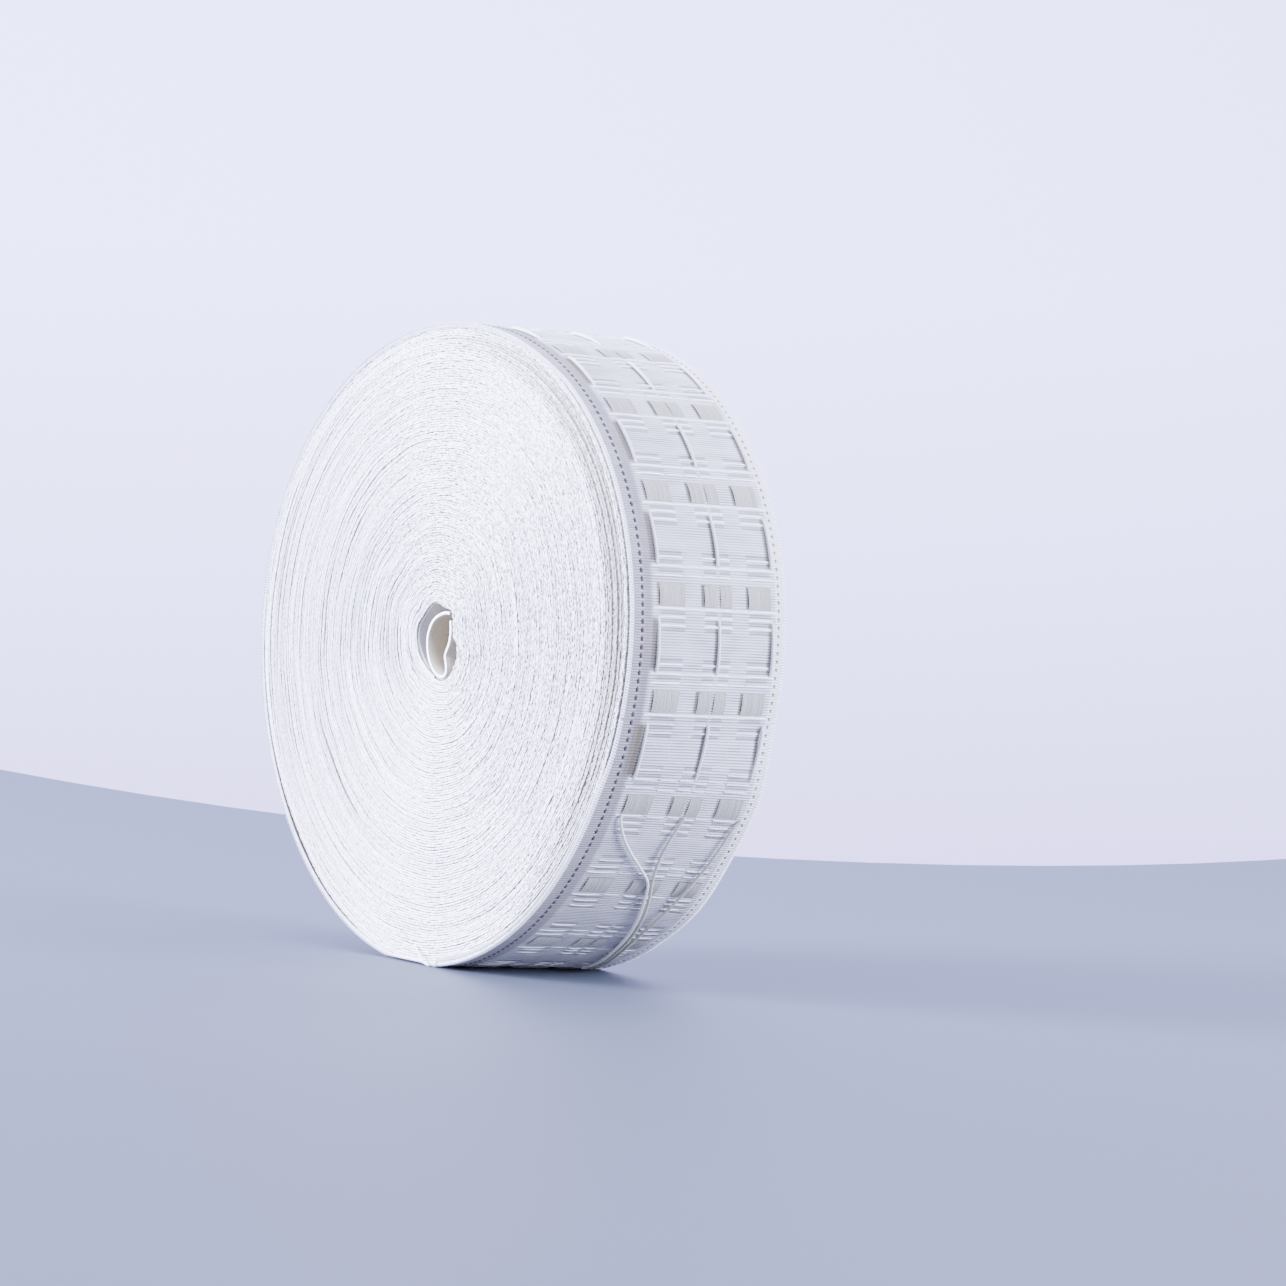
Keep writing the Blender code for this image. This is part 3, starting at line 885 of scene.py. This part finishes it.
def wound_depths(seed, side):
    """How far each turn's edge lies in from the tape's edge, and how much painted shade it gets."""
    low = 0.0004 + 0.00012 * wavering(count, 60, seed) + 0.00014 * wavering(count, 11, seed + 1)
    low += 0.00008 * np.random.default_rng(seed).uniform(-1, 1, TURNS)[which_turn]
    groove = np.maximum(0, wavering(count, 29, seed + 5) - 0.25)
    groove += np.maximum(0, wavering(count, 13, seed + 6) - 0.45)
    low += 0.0009 * (rough_side - 0.30) * groove
    # Painted shade: soft grey bands along some turns, strongest at the left and right of the face
    shade_bands = wavering(count, 34, seed + 7).reshape(TURNS, STEPS_PER_TURN)
    shade_bands = np.clip(0.55 + 0.34 * (shade_bands + np.roll(shade_bands, 1, axis=0)).ravel(), 0, 1)
    shade_bands *= 0.10 + 0.90 * arc_window(winding_deg, 180, 75) + 0.55 * arc_window(winding_deg, 0, 55)
    low += set_back(winding_deg) * ((turned_by < 1) & (side < 0))
    low += drops if side < 0 else drops * 0.3
    return low, shade_bands


def winding_faces(name, seed, side, step, parts):
    """The wound edges on one face of the roll, as one piece or several."""
    low, shade_bands = wound_depths(seed, side)
    gone = distances(place(winding_deg, winding_radius, TAPE_WIDTH / 2))
    stations = np.arange(0, gone[-1], step)
    deg, radius, low, shade_bands = (
        np.interp(stations, gone, part) for part in (winding_deg, winding_radius, low, shade_bands)
    )
    dice = np.random.default_rng(seed + 9)
    grain_here = 0.42 + 0.68 * arc_window(deg, 35, 110)
    hollow = dice.uniform(0, 1, len(stations)) ** 2 * grain_here
    low = low + 0.00042 * hollow
    radius = radius + dice.uniform(-0.00020, 0.00020, len(stations)) * grain_here
    radius = radius + 0.00012 * wavering(len(stations), 5, seed + 8)
    radius = np.minimum(radius, outline(deg) - 0.0009)
    fullness = 1.05 - 0.3 * hollow + dice.uniform(-0.08, 0.08, len(stations))
    points = place(deg, radius, low if side < 0 else TAPE_WIDTH - low, 0.0008 + underside(deg))
    sizes = {
        "Edge width": edge_pitch * 0.95,
        "Edge depth": 0.0024,
        "Facing": (0.0, float(side), 0.0),
        "Finish": edges.material,
    }
    faces = []
    for part, chosen in enumerate(np.array_split(np.arange(len(stations)), parts)):
        chosen = np.append(chosen, chosen[-1] + 1) if part < parts - 1 else chosen
        near = np.arange(len(chosen))
        label = name + ("", "_outer", "_inner")[(part + 1) * (parts > 1)]
        links = np.stack((near[:-1], near[1:]), axis=-1).tolist()
        source = make_object(label + "_line", points[chosen], [], edges=links)
        for attribute, values in (("hollow", hollow), ("fullness", fullness), ("shade_bands", shade_bands)):
            carry(source, attribute, values[chosen])
        obj = grow(label, source, edge_nodes.tree, sizes)
        dress(obj, "tape_roll")
        faces.append(obj)
    return faces


wound_faces = winding_faces("wound_turns_shown", 21, -1, 0.00080, 2)
wound_faces += winding_faces("wound_turns_plain", 31, 1, 0.00160, 1)
for face in wound_faces:
    print(face.name, "has", len(face.data.polygons), "faces")

# %% [markdown]
# ### What lies behind the edges
#
# Behind the drawn edges the roll is solid cloth. One plain body closes the cracks between the turns
# and lines the hole. It is a tube with an inner wall and two flat rings, set in from both faces.
# The wall of the hole gets a darker finish, because it is a turn of tape seen in deep shade.

# %% Close the cracks and line the hole
RING_STEPS = 180
SET_IN = 0.0021
ring_deg = np.linspace(0, 360, RING_STEPS, endpoint=False)
hole_edge = hole_radius(ring_deg)
outer_edge = outline(ring_deg) - 0.0016
core_rows = [(outer_edge, 0.02), (outer_edge, SET_IN)]
core_rows += [(hole_edge + 0.0004, SET_IN), (hole_edge + 0.0001, 0.0012)]
core_rows += [(hole_edge, step * TAPE_WIDTH) for step in np.linspace(0.03, 0.97, 16)]
core_rows += [(hole_edge + 0.0001, TAPE_WIDTH - 0.0012), (hole_edge + 0.0004, TAPE_WIDTH - SET_IN)]
core_rows += [(outer_edge, TAPE_WIDTH - SET_IN), (outer_edge, TAPE_WIDTH - 0.02)]
core_points = [place(ring_deg, radius, across, 0.0015) for radius, across in core_rows]
core_faces = grid_faces(RING_STEPS, len(core_rows), close=True)
core = make_object("wound_core", np.stack(core_points, axis=1), core_faces)
core.data.materials.append(edges.material)
core.data.materials.append(hole_lining)
wall_first, wall_last = 3, len(core_rows) - 4
for face in core.data.polygons:
    strip = face.index % (len(core_rows) - 1)
    face.material_index = int(wall_first <= strip < wall_last)
in_hole = core.data.polygons[10]
if in_hole.normal.dot(in_hole.center - Vector((0, 0, AXIS_HEIGHT))) > 0:
    core.data.flip_normals()
dress(core, "tape_roll")
print("core:", len(core.data.polygons), "faces")

# %% [markdown]
# ## The outermost turn
#
# The rim shows the tape's woven side. Its cross ribs, 38 to a repeat, are real geometry here, one
# row of points on each crest and one in each valley, so the outline of the roll is finely ribbed
# as well. Both edges turn in a little to hide the tape's thickness. Where the loose end lies over
# the roll, the ring drops by the thickness of one tape, and the steps at both ends of that bed are
# shaded flat, so that no soft shadow is smeared round their corners.

# %% Weave the ribbed band round the rim
RIB_HEIGHT = 0.00022
DIM_BAR_DEPTH, POCKET_DEPTH = 0.00022, 0.0002
END_TOP_DEG = -10.0
BED_DEG = (277.1, 350.0)
HEM = ((0.0006, -0.0016), (0.0001, -0.0008), (0.0002, -0.0002))
ACROSS_STEPS = 30


def rib_angles(top, bottom):
    """Angles of the crests and valleys between two angles, downwards, and their heights."""
    half_ribs = RIBS_PER_REPEAT * 2
    first = math.ceil(downwards(top) * half_ribs + 0.2)
    last = math.floor(downwards(bottom) * half_ribs - 0.2)
    steps = np.arange(first, last + 1)
    deg = np.concatenate(((top,), angle_at(steps / half_ribs), (bottom,)))
    height = np.concatenate(((0.0,), np.where(steps % 2, 1.0, -1.0) * RIB_HEIGHT / 2, (0.0,)))
    return deg, height


def low_places(deg, across):
    """How far the ground lies back in the dim bars and slots of the pattern."""
    part = downwards(deg)[:, None] % 1.0
    v = across[None, :] / TAPE_WIDTH
    in_pocket = sum(((v > low) & (v < high)) for low, high in POCKETS)
    dim_bar = sum((abs(part - bar) < 0.012) for bar in GREY_BARS)
    in_row = part < POCKET_ROW[1]
    return DIM_BAR_DEPTH * (dim_bar * in_pocket) + POCKET_DEPTH * in_row * in_pocket


def near_edge(deg, across):
    """Places across the tape, moved where the near edge is set back."""
    return across + set_back(deg) * np.maximum(0.0, 1 - across / 0.006)


across = np.linspace(0.0010, TAPE_WIDTH - 0.0010, ACROSS_STEPS)
hem_across, hem_drop = np.array(HEM).T
across_all = np.concatenate((hem_across, across, TAPE_WIDTH - hem_across[::-1]))
drop_all = np.concatenate((hem_drop, np.zeros(ACROSS_STEPS), hem_drop[::-1]))
rim_deg, rim_height = rib_angles(BED_DEG[0], END_TOP_DEG)
bed_deg = np.linspace(BED_DEG[1] - 0.2, BED_DEG[0] + 0.3, 34) - 360
rim_radius = outline(rim_deg)[:, None] + rim_height[:, None] + drop_all[None, :]
rim_radius = rim_radius - low_places(rim_deg, across_all)
bed_radius = outline(bed_deg)[:, None] - TAPE_THICKNESS - 0.0003 + drop_all[None, :]
all_deg = np.concatenate((rim_deg, bed_deg))
shifted = near_edge(all_deg[:, None], across_all[None, :])
lowest = FLOOR_GAP + underside(all_deg)[:, None]
points = place(all_deg[:, None], np.vstack((rim_radius, bed_radius)), shifted, lowest)
uv = weave_map(downwards(all_deg), across_all / TAPE_WIDTH)
band_faces = grid_faces(len(all_deg), len(across_all), close=True)
band = make_object("outermost_turn", points, band_faces, uv, (0, 0, AXIS_HEIGHT))
band.data.materials.append(ground.material)
for row in (len(rim_deg) - 1, len(all_deg) - 1):
    for strip in range(len(across_all) - 1):
        band.data.polygons[row * (len(across_all) - 1) + strip].use_smooth = False
dress(band, "tape_roll")
print("band:", len(all_deg), "rows,", len(band.data.polygons), "faces")

# %% [markdown]
# ## Threads that lie on the surface
#
# The pockets, bars, cords and guide threads are all the same thing at different sizes: a thread
# that rises from the cloth, runs over it and dives back in. One Geometry Nodes tree makes them
# all. It draws one short arched thread, turns a copy of it to each point by two directions, and
# scales the copy to its length, width and height. Each point carries these as attributes. Threads
# that pass under the roll are pressed flat against the table afterwards.

# %% The tree that lays threads
THREAD_INPUTS = (
    ("Sides", "Int"),
    ("Steps", "Int"),
    ("Unevenness", "Float"),
    ("Seed", "Int"),
    ("Finish", "Material"),
)
thread_nodes, inputs = new_tree("lay_threads", THREAD_INPUTS)
ends = {"Start": (-0.5, 0.0, 0.0), "End": (0.5, 0.0, 0.0)}
rod = thread_nodes.add("GeometryNodeCurvePrimitiveLine", ends)
parted = {"Curve": rod, "Count": inputs.output("Steps")}
rod = thread_nodes.add("GeometryNodeResampleCurve", parted)
round_ring = {"Resolution": inputs.output("Sides"), "Radius": 0.5}
ring = thread_nodes.add("GeometryNodeCurvePrimitiveCircle", round_ring)
one = thread_nodes.add("GeometryNodeCurveToMesh", {"Curve": rod, "Profile Curve": ring})
spot = thread_nodes.add("GeometryNodeInputPosition")
spot_x = thread_nodes.add("ShaderNodeSeparateXYZ", {"Vector": spot})
arch = (spot_x * math.pi).cosine().at_least(0.0) ** 0.45 - 0.5
offset = thread_nodes.add("ShaderNodeCombineXYZ", {"Z": arch})
one = thread_nodes.add("GeometryNodeSetPosition", {"Geometry": one, "Offset": offset})
one = thread_nodes.add("GeometryNodeSetShadeSmooth", {"Geometry": one})


def point_vector(name):
    """A vector that each point carries."""
    return thread_nodes.add(
        "GeometryNodeInputNamedAttribute", {"Name": name}, data_type="FLOAT_VECTOR"
    )


standing = thread_nodes.add(
    "FunctionNodeAlignRotationToVector", {"Vector": point_vector("out")}, axis="Z"
)
lying = thread_nodes.add(
    "FunctionNodeAlignRotationToVector",
    {"Rotation": standing, "Vector": point_vector("along")},
    axis="X",
    pivot_axis="Z",
)
spread = inputs.output("Unevenness")
limits = {2: spread * -1.0 + 1.0, 3: spread + 1.0, "Seed": inputs.output("Seed")}
chance = thread_nodes.add("FunctionNodeRandomValue", limits, data_type="FLOAT").output(1)
uneven = thread_nodes.add("ShaderNodeCombineXYZ", {"X": 1.0, "Y": chance, "Z": chance})
both = {0: point_vector("size"), 1: uneven}
scaled = thread_nodes.add("ShaderNodeVectorMath", both, operation="MULTIPLY")
copies = {
    "Points": inputs.output("Geometry"), "Instance": one, "Rotation": lying, "Scale": scaled,
}
laid = thread_nodes.add("GeometryNodeInstanceOnPoints", copies)
close_tree(thread_nodes, laid, inputs.output("Finish"))
print("thread tree:", len(thread_nodes.tree.nodes), "nodes")

# %% [markdown]
# ### Laying threads by the table
#
# A thread is written as its middle, its length along one direction, its width and how high it
# rises. The helper below collects them for one finish and hands them to the tree. The same tables
# lay the threads of the roll and of its loose end. Only the surface under them differs.

# %% Collect threads and lay them
LOWEST_THREAD = 0.0001
LOWEST_MIDDLE = 0.0004


class Threads:
    """Threads of one finish on one node of the plain roll, gathered before they are laid."""

    def __init__(self, node, surface):
        self.node = node
        self.surface = surface
        self.rows = []

    def run(self, deg, across, length, width, height, along):
        """Adds threads: along is "tape" for down the tape or "weft" for across it."""
        deg, across = (np.ravel(part) for part in np.broadcast_arrays(deg, across))
        angle = np.radians(deg)
        out = np.stack((np.cos(angle), 0 * angle, np.sin(angle)), axis=-1)
        down = np.stack((np.sin(angle), 0 * angle, -np.cos(angle)), axis=-1)
        side = np.broadcast_to((0.0, 1.0, 0.0), down.shape)
        size = np.broadcast_to((length, width, height), down.shape)
        self.rows.append((self.surface(deg, across), out, down if along == "tape" else side, size))

    def lay(self, name, finish, seed, sides=6, steps=5, unevenness=0.12):
        """Lays the threads as one piece."""
        points, out, along, size = (np.concatenate(part) for part in zip(*self.rows))
        source = make_object(name + "_points", points, [])
        for attribute, values in (("out", out), ("along", along), ("size", size)):
            carry(source, attribute, values)
        sizes = {"Sides": sides, "Steps": steps, "Unevenness": unevenness}
        sizes |= {"Seed": seed, "Finish": finish}
        obj = grow(name, source, thread_nodes.tree, sizes)
        flat = np.empty(len(obj.data.vertices) * 3, dtype=np.float32)
        obj.data.vertices.foreach_get("co", flat)
        flat[2::3] = np.maximum(flat[2::3], LOWEST_THREAD)
        obj.data.vertices.foreach_set("co", flat)
        dress(obj, self.node)
        print(name, len(points), "threads,", len(obj.data.polygons), "faces")
        return obj


def on_roll(deg, across):
    """A point on the ground of the outermost turn."""
    return place(deg, outline(deg), near_edge(deg, across), LOWEST_MIDDLE + underside(deg))


def repeats_between(top, bottom):
    """The repeats that reach into a stretch of tape."""
    return range(math.floor(downwards(top)), math.ceil(downwards(bottom)) + 1)


def inside(deg, top, bottom, margin=0.25):
    """The angles that lie on a stretch of tape."""
    deg = np.asarray(deg)
    return deg[(deg < top - margin) & (deg > bottom + margin)]


print("the roll's band shows", len(repeats_between(BED_DEG[0], END_TOP_DEG)) - 1, "repeats")

# %% [markdown]
# ### The pattern on any stretch of tape
#
# Long white bars run nearly from edge to edge, in stretches that dip between the columns. Short
# ones cross the columns alone. In each pocket, some two dozen grey-beige threads float side by side
# down the tape. Dark guide threads dash along the near edge; along the far edge the same threads
# get a lighter yarn, as painted light. Small loops of weft close both edges. On the slack loose end
# the bars get a darker yarn, as painted shade, and are no longer quite in line, so the function
# takes their yarn and how far, in degrees, they are crumpled.

# %% Lay the pattern
POCKET_YARN = 0.00056
BAR_WIDTH, BAR_HEIGHT = 0.00080, 0.00046
BAR_STRETCHES = (
    (0.160, 0.362), (0.360, 0.484), (0.480, 0.570), (0.572, 0.660), (0.658, 0.768), (0.764, 0.942),
)
POCKET_RISE, CORD_RISE = 0.0005, 0.0013
GUIDE_SIZE = (0.0020, 0.00120, 0.00040)
FAR_GUIDE_SIZE = (0.0016, 0.00085, 0.00035)
LOOP_SIZE = (0.0019, 0.00082, 0.00032)
LOOP_MARGIN = 0.0006


def lay_pattern(prefix, node, surface, top, bottom, cords_until, bar_yarn, crumple=0.0):
    """All surface threads of a stretch of tape; returns them as a list of pieces."""
    bars, pockets, cords, near_guides, far_guides, loops = (
        Threads(node, surface) for _ in range(6)
    )

    def at(repeat, part):
        return float(angle_at(repeat + part))

    def bar(deg, low, high, width, height):
        """One stretch of a white bar between two shares of the tape's width."""
        middle, length = (low + high) / 2 * TAPE_WIDTH, (high - low) * TAPE_WIDTH
        size = (length, BAR_WIDTH * width, BAR_HEIGHT * height)
        bars.run(inside([deg], top, bottom), middle, *size, "weft")

    for repeat in repeats_between(top, bottom):
        for part in LONG_BARS:
            for low, high in BAR_STRETCHES:
                wave = math.sin(40 * low + 90 * part + 5 * repeat)
                in_column = (high - low) < 0.1 or low in (0.160, 0.764)
                width, height = (1.0, 1.0) if in_column else (0.75, 0.6)
                bar(at(repeat, part) + crumple * wave, low, high, width, height)
        for part in SHORT_BARS:
            for low, high in POCKETS:
                wave = math.sin(50 * low + 80 * part + 3 * repeat)
                bar(at(repeat, part) + crumple * wave, low - 0.005, high + 0.005, 0.9, 0.9)
        pocket_middle = at(repeat, (POCKET_ROW[0] + POCKET_ROW[1]) / 2)
        pocket_length = math.radians((POCKET_ROW[1] - POCKET_ROW[0]) * REPEAT_DEG) * ROLL_RADIUS
        deg = inside([pocket_middle], top, bottom, 1.7)
        for low, high in POCKETS:
            yarns = np.arange(low * TAPE_WIDTH, high * TAPE_WIDTH, POCKET_YARN)
            size = (pocket_length * 1.04, POCKET_YARN * 1.25, POCKET_RISE)
            pockets.run(*np.meshgrid(deg, yarns), *size, "tape")
        cord_top, cord_bottom = (at(repeat, part) for part in CORD_ROW)
        if cord_top < top and cord_bottom > max(bottom, cords_until):
            length = math.radians(cord_top - cord_bottom) * ROLL_RADIUS
            middle = (cord_top + cord_bottom) / 2
            lines = np.array(CORD_LINES) * TAPE_WIDTH
            cords.run([middle], lines, length, CORD_DIAMETER, CORD_RISE, "tape")
    first, last = (downwards(deg) * GUIDES_PER_REPEAT for deg in (top, bottom))
    guide_deg = angle_at(np.arange(math.ceil(first), math.floor(last) + 1) / GUIDES_PER_REPEAT)
    near_guides.run(guide_deg, NEAR_GUIDE * TAPE_WIDTH, *GUIDE_SIZE, "tape")
    far_guides.run(guide_deg, FAR_GUIDE * TAPE_WIDTH, *FAR_GUIDE_SIZE, "tape")
    first, last = (downwards(deg) * RIBS_PER_REPEAT for deg in (top, bottom))
    loop_deg = angle_at(np.arange(math.ceil(first), math.floor(last)) / RIBS_PER_REPEAT)
    for across in (LOOP_MARGIN, TAPE_WIDTH - LOOP_MARGIN):
        loops.run(loop_deg, across, *LOOP_SIZE, "weft")

    pieces = [
        bars.lay(prefix + "white_bars", bar_yarn, seed=3),
        pockets.lay(prefix + "pocket_threads", pocket_yarn, seed=4, unevenness=0.22),
        near_guides.lay(prefix + "near_guide", dark_guide, seed=5),
        far_guides.lay(prefix + "far_guide", pale_guide, seed=6),
        loops.lay(prefix + "edge_loops", white_yarn, sides=5, seed=7),
    ]
    if cords.rows:
        finer = {"sides": 10, "steps": 13, "unevenness": 0.04}
        pieces.append(cords.lay(prefix + "cord_floats", cord_yarn, seed=8, **finer))
    return pieces


lay_pattern("roll_", "tape_roll", on_roll, BED_DEG[0], END_TOP_DEG, -999.0, white_yarn)

# %% [markdown]
# ## The loose end
#
# The last stretch of the outermost turn hangs free from a little below the middle of the roll down
# to the table, where it is cut. Its near edge still clings to the roll and its far edge stands off,
# which shows as a lip against the table. It is a closed sheet as thick as the tape, with the same
# ribs on its outside, and it carries the same pattern. One thread has frayed from the cut and lies
# against the near face, a few millimetres above the table.

# %% Hang the loose end
# Stand-off of the far edge: angle and metres
FLARE = np.array(
    ((-83, 0.0016), (-62, 0.0019), (-48, 0.0034), (-37, 0.0027), (-24, 0.0036), (-10, 0.0))
)
FLARE_FROM, FLARE_POWER = 0.15, 1.4
END_THICKNESS = 0.0010
END_CRUMPLE_DEG = 0.22
FRAYED_DIAMETER = 0.0006


def flare(deg, across):
    """How far the loose end stands off the roll."""
    deg, across = np.broadcast_arrays(deg, across)
    at = np.clip(deg, FLARE[0, 0], FLARE[-1, 0])
    row = np.clip(np.searchsorted(FLARE[:, 0], at, side="right") - 1, 0, len(FLARE) - 2)
    part = soft_step((at - FLARE[row, 0]) / (FLARE[row + 1, 0] - FLARE[row, 0]))
    stand_off = FLARE[row, 1] * (1 - part) + FLARE[row + 1, 1] * part
    outwards = np.maximum(0.0, (across / TAPE_WIDTH - FLARE_FROM) / (1 - FLARE_FROM))
    return stand_off * outwards ** FLARE_POWER


def on_loose_end(deg, across):
    """A point on the outside of the loose end."""
    stand_off = flare(deg, across)
    return place(deg, outline(deg) + stand_off, near_edge(deg, across), LOWEST_MIDDLE)


end_deg, end_height = rib_angles(END_TOP_DEG, END_CUT_DEG)
end_columns = np.concatenate(((0.0, 0.0004), across, (TAPE_WIDTH - 0.0004, TAPE_WIDTH)))
base = outline(end_deg)[:, None] + flare(end_deg[:, None], end_columns[None, :])
woven_side = base + end_height[:, None] - low_places(end_deg, end_columns)
end_across = near_edge(end_deg[:, None], end_columns[None, :])
end_top = place(end_deg[:, None], woven_side, end_across, FLOOR_GAP + 0.0009)
end_under = place(end_deg[:, None], base - END_THICKNESS, end_across, FLOOR_GAP)
# Towards the table the sheet is pressed a little thinner
pressed = np.maximum(end_top[..., 2] + 0.0006, FLOOR_GAP)
end_under[..., 2] = np.minimum(end_under[..., 2], pressed)
uv = weave_map(downwards(end_deg), end_columns / TAPE_WIDTH)
loose_end = make_sheet("loose_end", end_top, end_under, uv)
loose_end.data.materials.append(ground.material)
dress(loose_end, "tape_end")
# The bars of the loose end get the darker yarn, painted shade
end_threads = lay_pattern(
    "end_", "tape_end", on_loose_end, END_TOP_DEG, END_CUT_DEG, -28.0, slack_yarn, END_CRUMPLE_DEG
)
frayed_route = (
    (0.0012, -0.0373, 0.0074), (0.0042, -0.0385, 0.0052), (0.0078, -0.0391, 0.0031),
    (0.0108, -0.0393, 0.0013), (0.0136, -0.0390, 0.0006),
)
frayed_thread, _ = spin_cord("end_frayed_thread", frayed_route, FRAYED_DIAMETER)
frayed_thread.data.materials.append(white_yarn)
dress(frayed_thread, "tape_end")
end_threads.append(frayed_thread)

# %% [markdown]
# ## The inner start
#
# In the hole, the very first turn of the tape stands free and folds back on itself in an S. It is
# made as the loose end is, as a thin closed sheet, from a smooth line through measured points.
# Its finish is the tape's plain beige back, painted darker and yellower as shade and warm reflected
# light in the hole, and its two edges are white.

# %% Fold the inner start
# Points of the S in mm, counted from the roll's axis
START_PATH = (
    (9.3, 8.4), (9.9, 5.0), (9.8, 1.6), (9.1, -1.2), (7.9, -3.4), (7.2, -5.4), (7.8, -7.6),
    (8.5, -9.8), (8.5, -12.0), (6.9, -13.5), (3.8, -13.6), (0.6, -12.1), (-2.2, -9.5),
    (-4.4, -5.8), (-5.5, -1.8), (-5.5, 1.8), (-4.4, 4.9), (-2.6, 7.6), (0.0, 9.5), (3.2, 10.8),
    (6.0, 11.4), (8.4, 11.3),
)
START_THICKNESS = 0.0010
START_COLUMNS = 13
START_STEP = 0.0005
START_MARGIN = 0.0004
start_given = [(x / 1000, 0.0, AXIS_HEIGHT + z / 1000) for x, z in START_PATH]
start_line, start_length = smooth_route(start_given, START_STEP)
start_along = unit(np.gradient(start_line, axis=0))
start_aside = np.stack((-start_along[:, 2], 0 * start_along[:, 1], start_along[:, 0]), axis=-1)
start_across = np.linspace(START_MARGIN, TAPE_WIDTH - START_MARGIN, START_COLUMNS) - TAPE_WIDTH / 2
sides = []
for side in (1, -1):
    edge_line = start_line + start_aside * side * START_THICKNESS / 2
    grid = np.repeat(edge_line[:, None], START_COLUMNS, axis=1)
    grid[..., 1] = start_across[None, :]
    sides.append(grid)
start_u = np.arange(len(start_line)) * START_STEP / (math.radians(REPEAT_DEG) * ROLL_RADIUS)
uv = weave_map(start_u, start_across / TAPE_WIDTH + 0.5)
inner_start = make_sheet("inner_start", sides[0], sides[1], uv)
inner_start.data.materials.append(plain_back)
inner_start.data.materials.append(white_yarn)
for face in inner_start.data.polygons:
    face.material_index = int(abs(face.center.y) > TAPE_WIDTH / 2 - 0.0009)
dress(inner_start, "tape_start")
print("the inner start is", round(start_length * 1000), "mm long")

# %% [markdown]
# ## A plain table and soft light
#
# The roll stands on a pale blue-grey table with a curved back edge, in front of a near-white wall.
# Both are staging and not part of the roll. The table is painted a little darker towards the front,
# as the soft shadow in front of the roll, and the wall is painted a little darker downwards, as
# shade. The light is soft and cool: a bright even sky, one large lamp in front of the shown face
# and a little above, a weak one overhead and a weak one at the side that lifts the rim. The dark
# line under the roll comes from the table and the lamps by themselves.

# %% Set the table and the lamps


def stage_plane(name, corners, colour, shade_colour, shade):
    """A flat stage piece between its corners, with painted shade from one colour to another."""
    obj = make_object(name, corners, [tuple(range(len(corners)))])
    made = Fabric(name + "_finish", 0.6, 0.0)
    share = shade(*made.parts(made.place()))
    made.colour(made.blend(share.held(), colour, shade_colour))
    obj.data.materials.append(made.material)


view_out = np.array((-math.sin(AZIMUTH), math.cos(AZIMUTH), 0.0))
view_aside = np.array((math.cos(AZIMUTH), math.sin(AZIMUTH), 0.0))
back_edge = [(0.66 + 2.0 * (aside - 0.09) ** 2, aside) for aside in np.linspace(0.7, -0.6, 27)]
table_edge = [(-3.0, -4.0), (-3.0, 4.0), (back_edge[0][0], 4.0)]
table_edge += [*back_edge, (back_edge[-1][0], -4.0)]
table_corners = [view_out * out + view_aside * aside for out, aside in table_edge]
out_x, out_y, _ = (float(part) for part in view_out)
# Painted shadow: the table is a little darker towards the front, in front of the roll
stage_plane(
    "table", table_corners, (0.064, 0.075, 0.100), (0.053, 0.062, 0.083),
    lambda x, y, z: (x * out_x + y * out_y - 0.15) * -1.7,
)
wall_foot = view_out * 3.2 - np.array((0.0, 0.0, 1.5))
wall_corners = [
    wall_foot + view_aside * aside + np.array((0.0, 0.0, rise))
    for aside, rise in ((-9, 0), (9, 0), (9, 6), (-9, 6))
]
# Painted shade: the wall is a little darker downwards
stage_plane(
    "wall", wall_corners, (0.73, 0.72, 1.0), (0.50, 0.43, 0.66),
    lambda x, y, z: (z - 0.42) * -1.75,
)


def lamp(name, where, size, watts, colour):
    """A square soft lamp that looks at the roll."""
    data = bpy.data.lights.new(name, "AREA")
    data.shape = "SQUARE"
    data.size = size
    data.energy = watts
    data.color = colour
    obj = show(name, data)
    obj.location = where
    aim = Vector((0.0, 0.0, 0.12)) - Vector(where)
    obj.rotation_euler = aim.to_track_quat("-Z", "Y").to_euler()


lamp("face_lamp", (-1.0, -2.4, 0.75), 1.2, 1050.0, (0.70, 0.74, 1.0))
lamp("top_lamp", (-0.3, 1.3, 2.0), 1.0, 60.0, (0.76, 0.79, 1.0))
lamp("rim_lamp", (1.7, 1.1, 0.9), 1.0, 195.0, (0.74, 0.77, 1.0))
world = bpy.data.worlds.new("soft_room")
world.use_nodes = True
sky = world.node_tree.nodes["Background"]
sky.inputs["Color"].default_value = rgba((0.655, 0.685, 1.0))
sky.inputs["Strength"].default_value = 3.3
bpy.context.scene.world = world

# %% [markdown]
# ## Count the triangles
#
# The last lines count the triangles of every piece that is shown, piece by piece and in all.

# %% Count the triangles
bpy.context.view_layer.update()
triangles = {}
for obj in bpy.context.scene.objects:
    if obj.type == "MESH" and not obj.hide_render:
        triangles[obj.name] = sum(len(face.vertices) - 2 for face in obj.data.polygons)
print("triangles:", triangles, "in all", sum(triangles.values()))
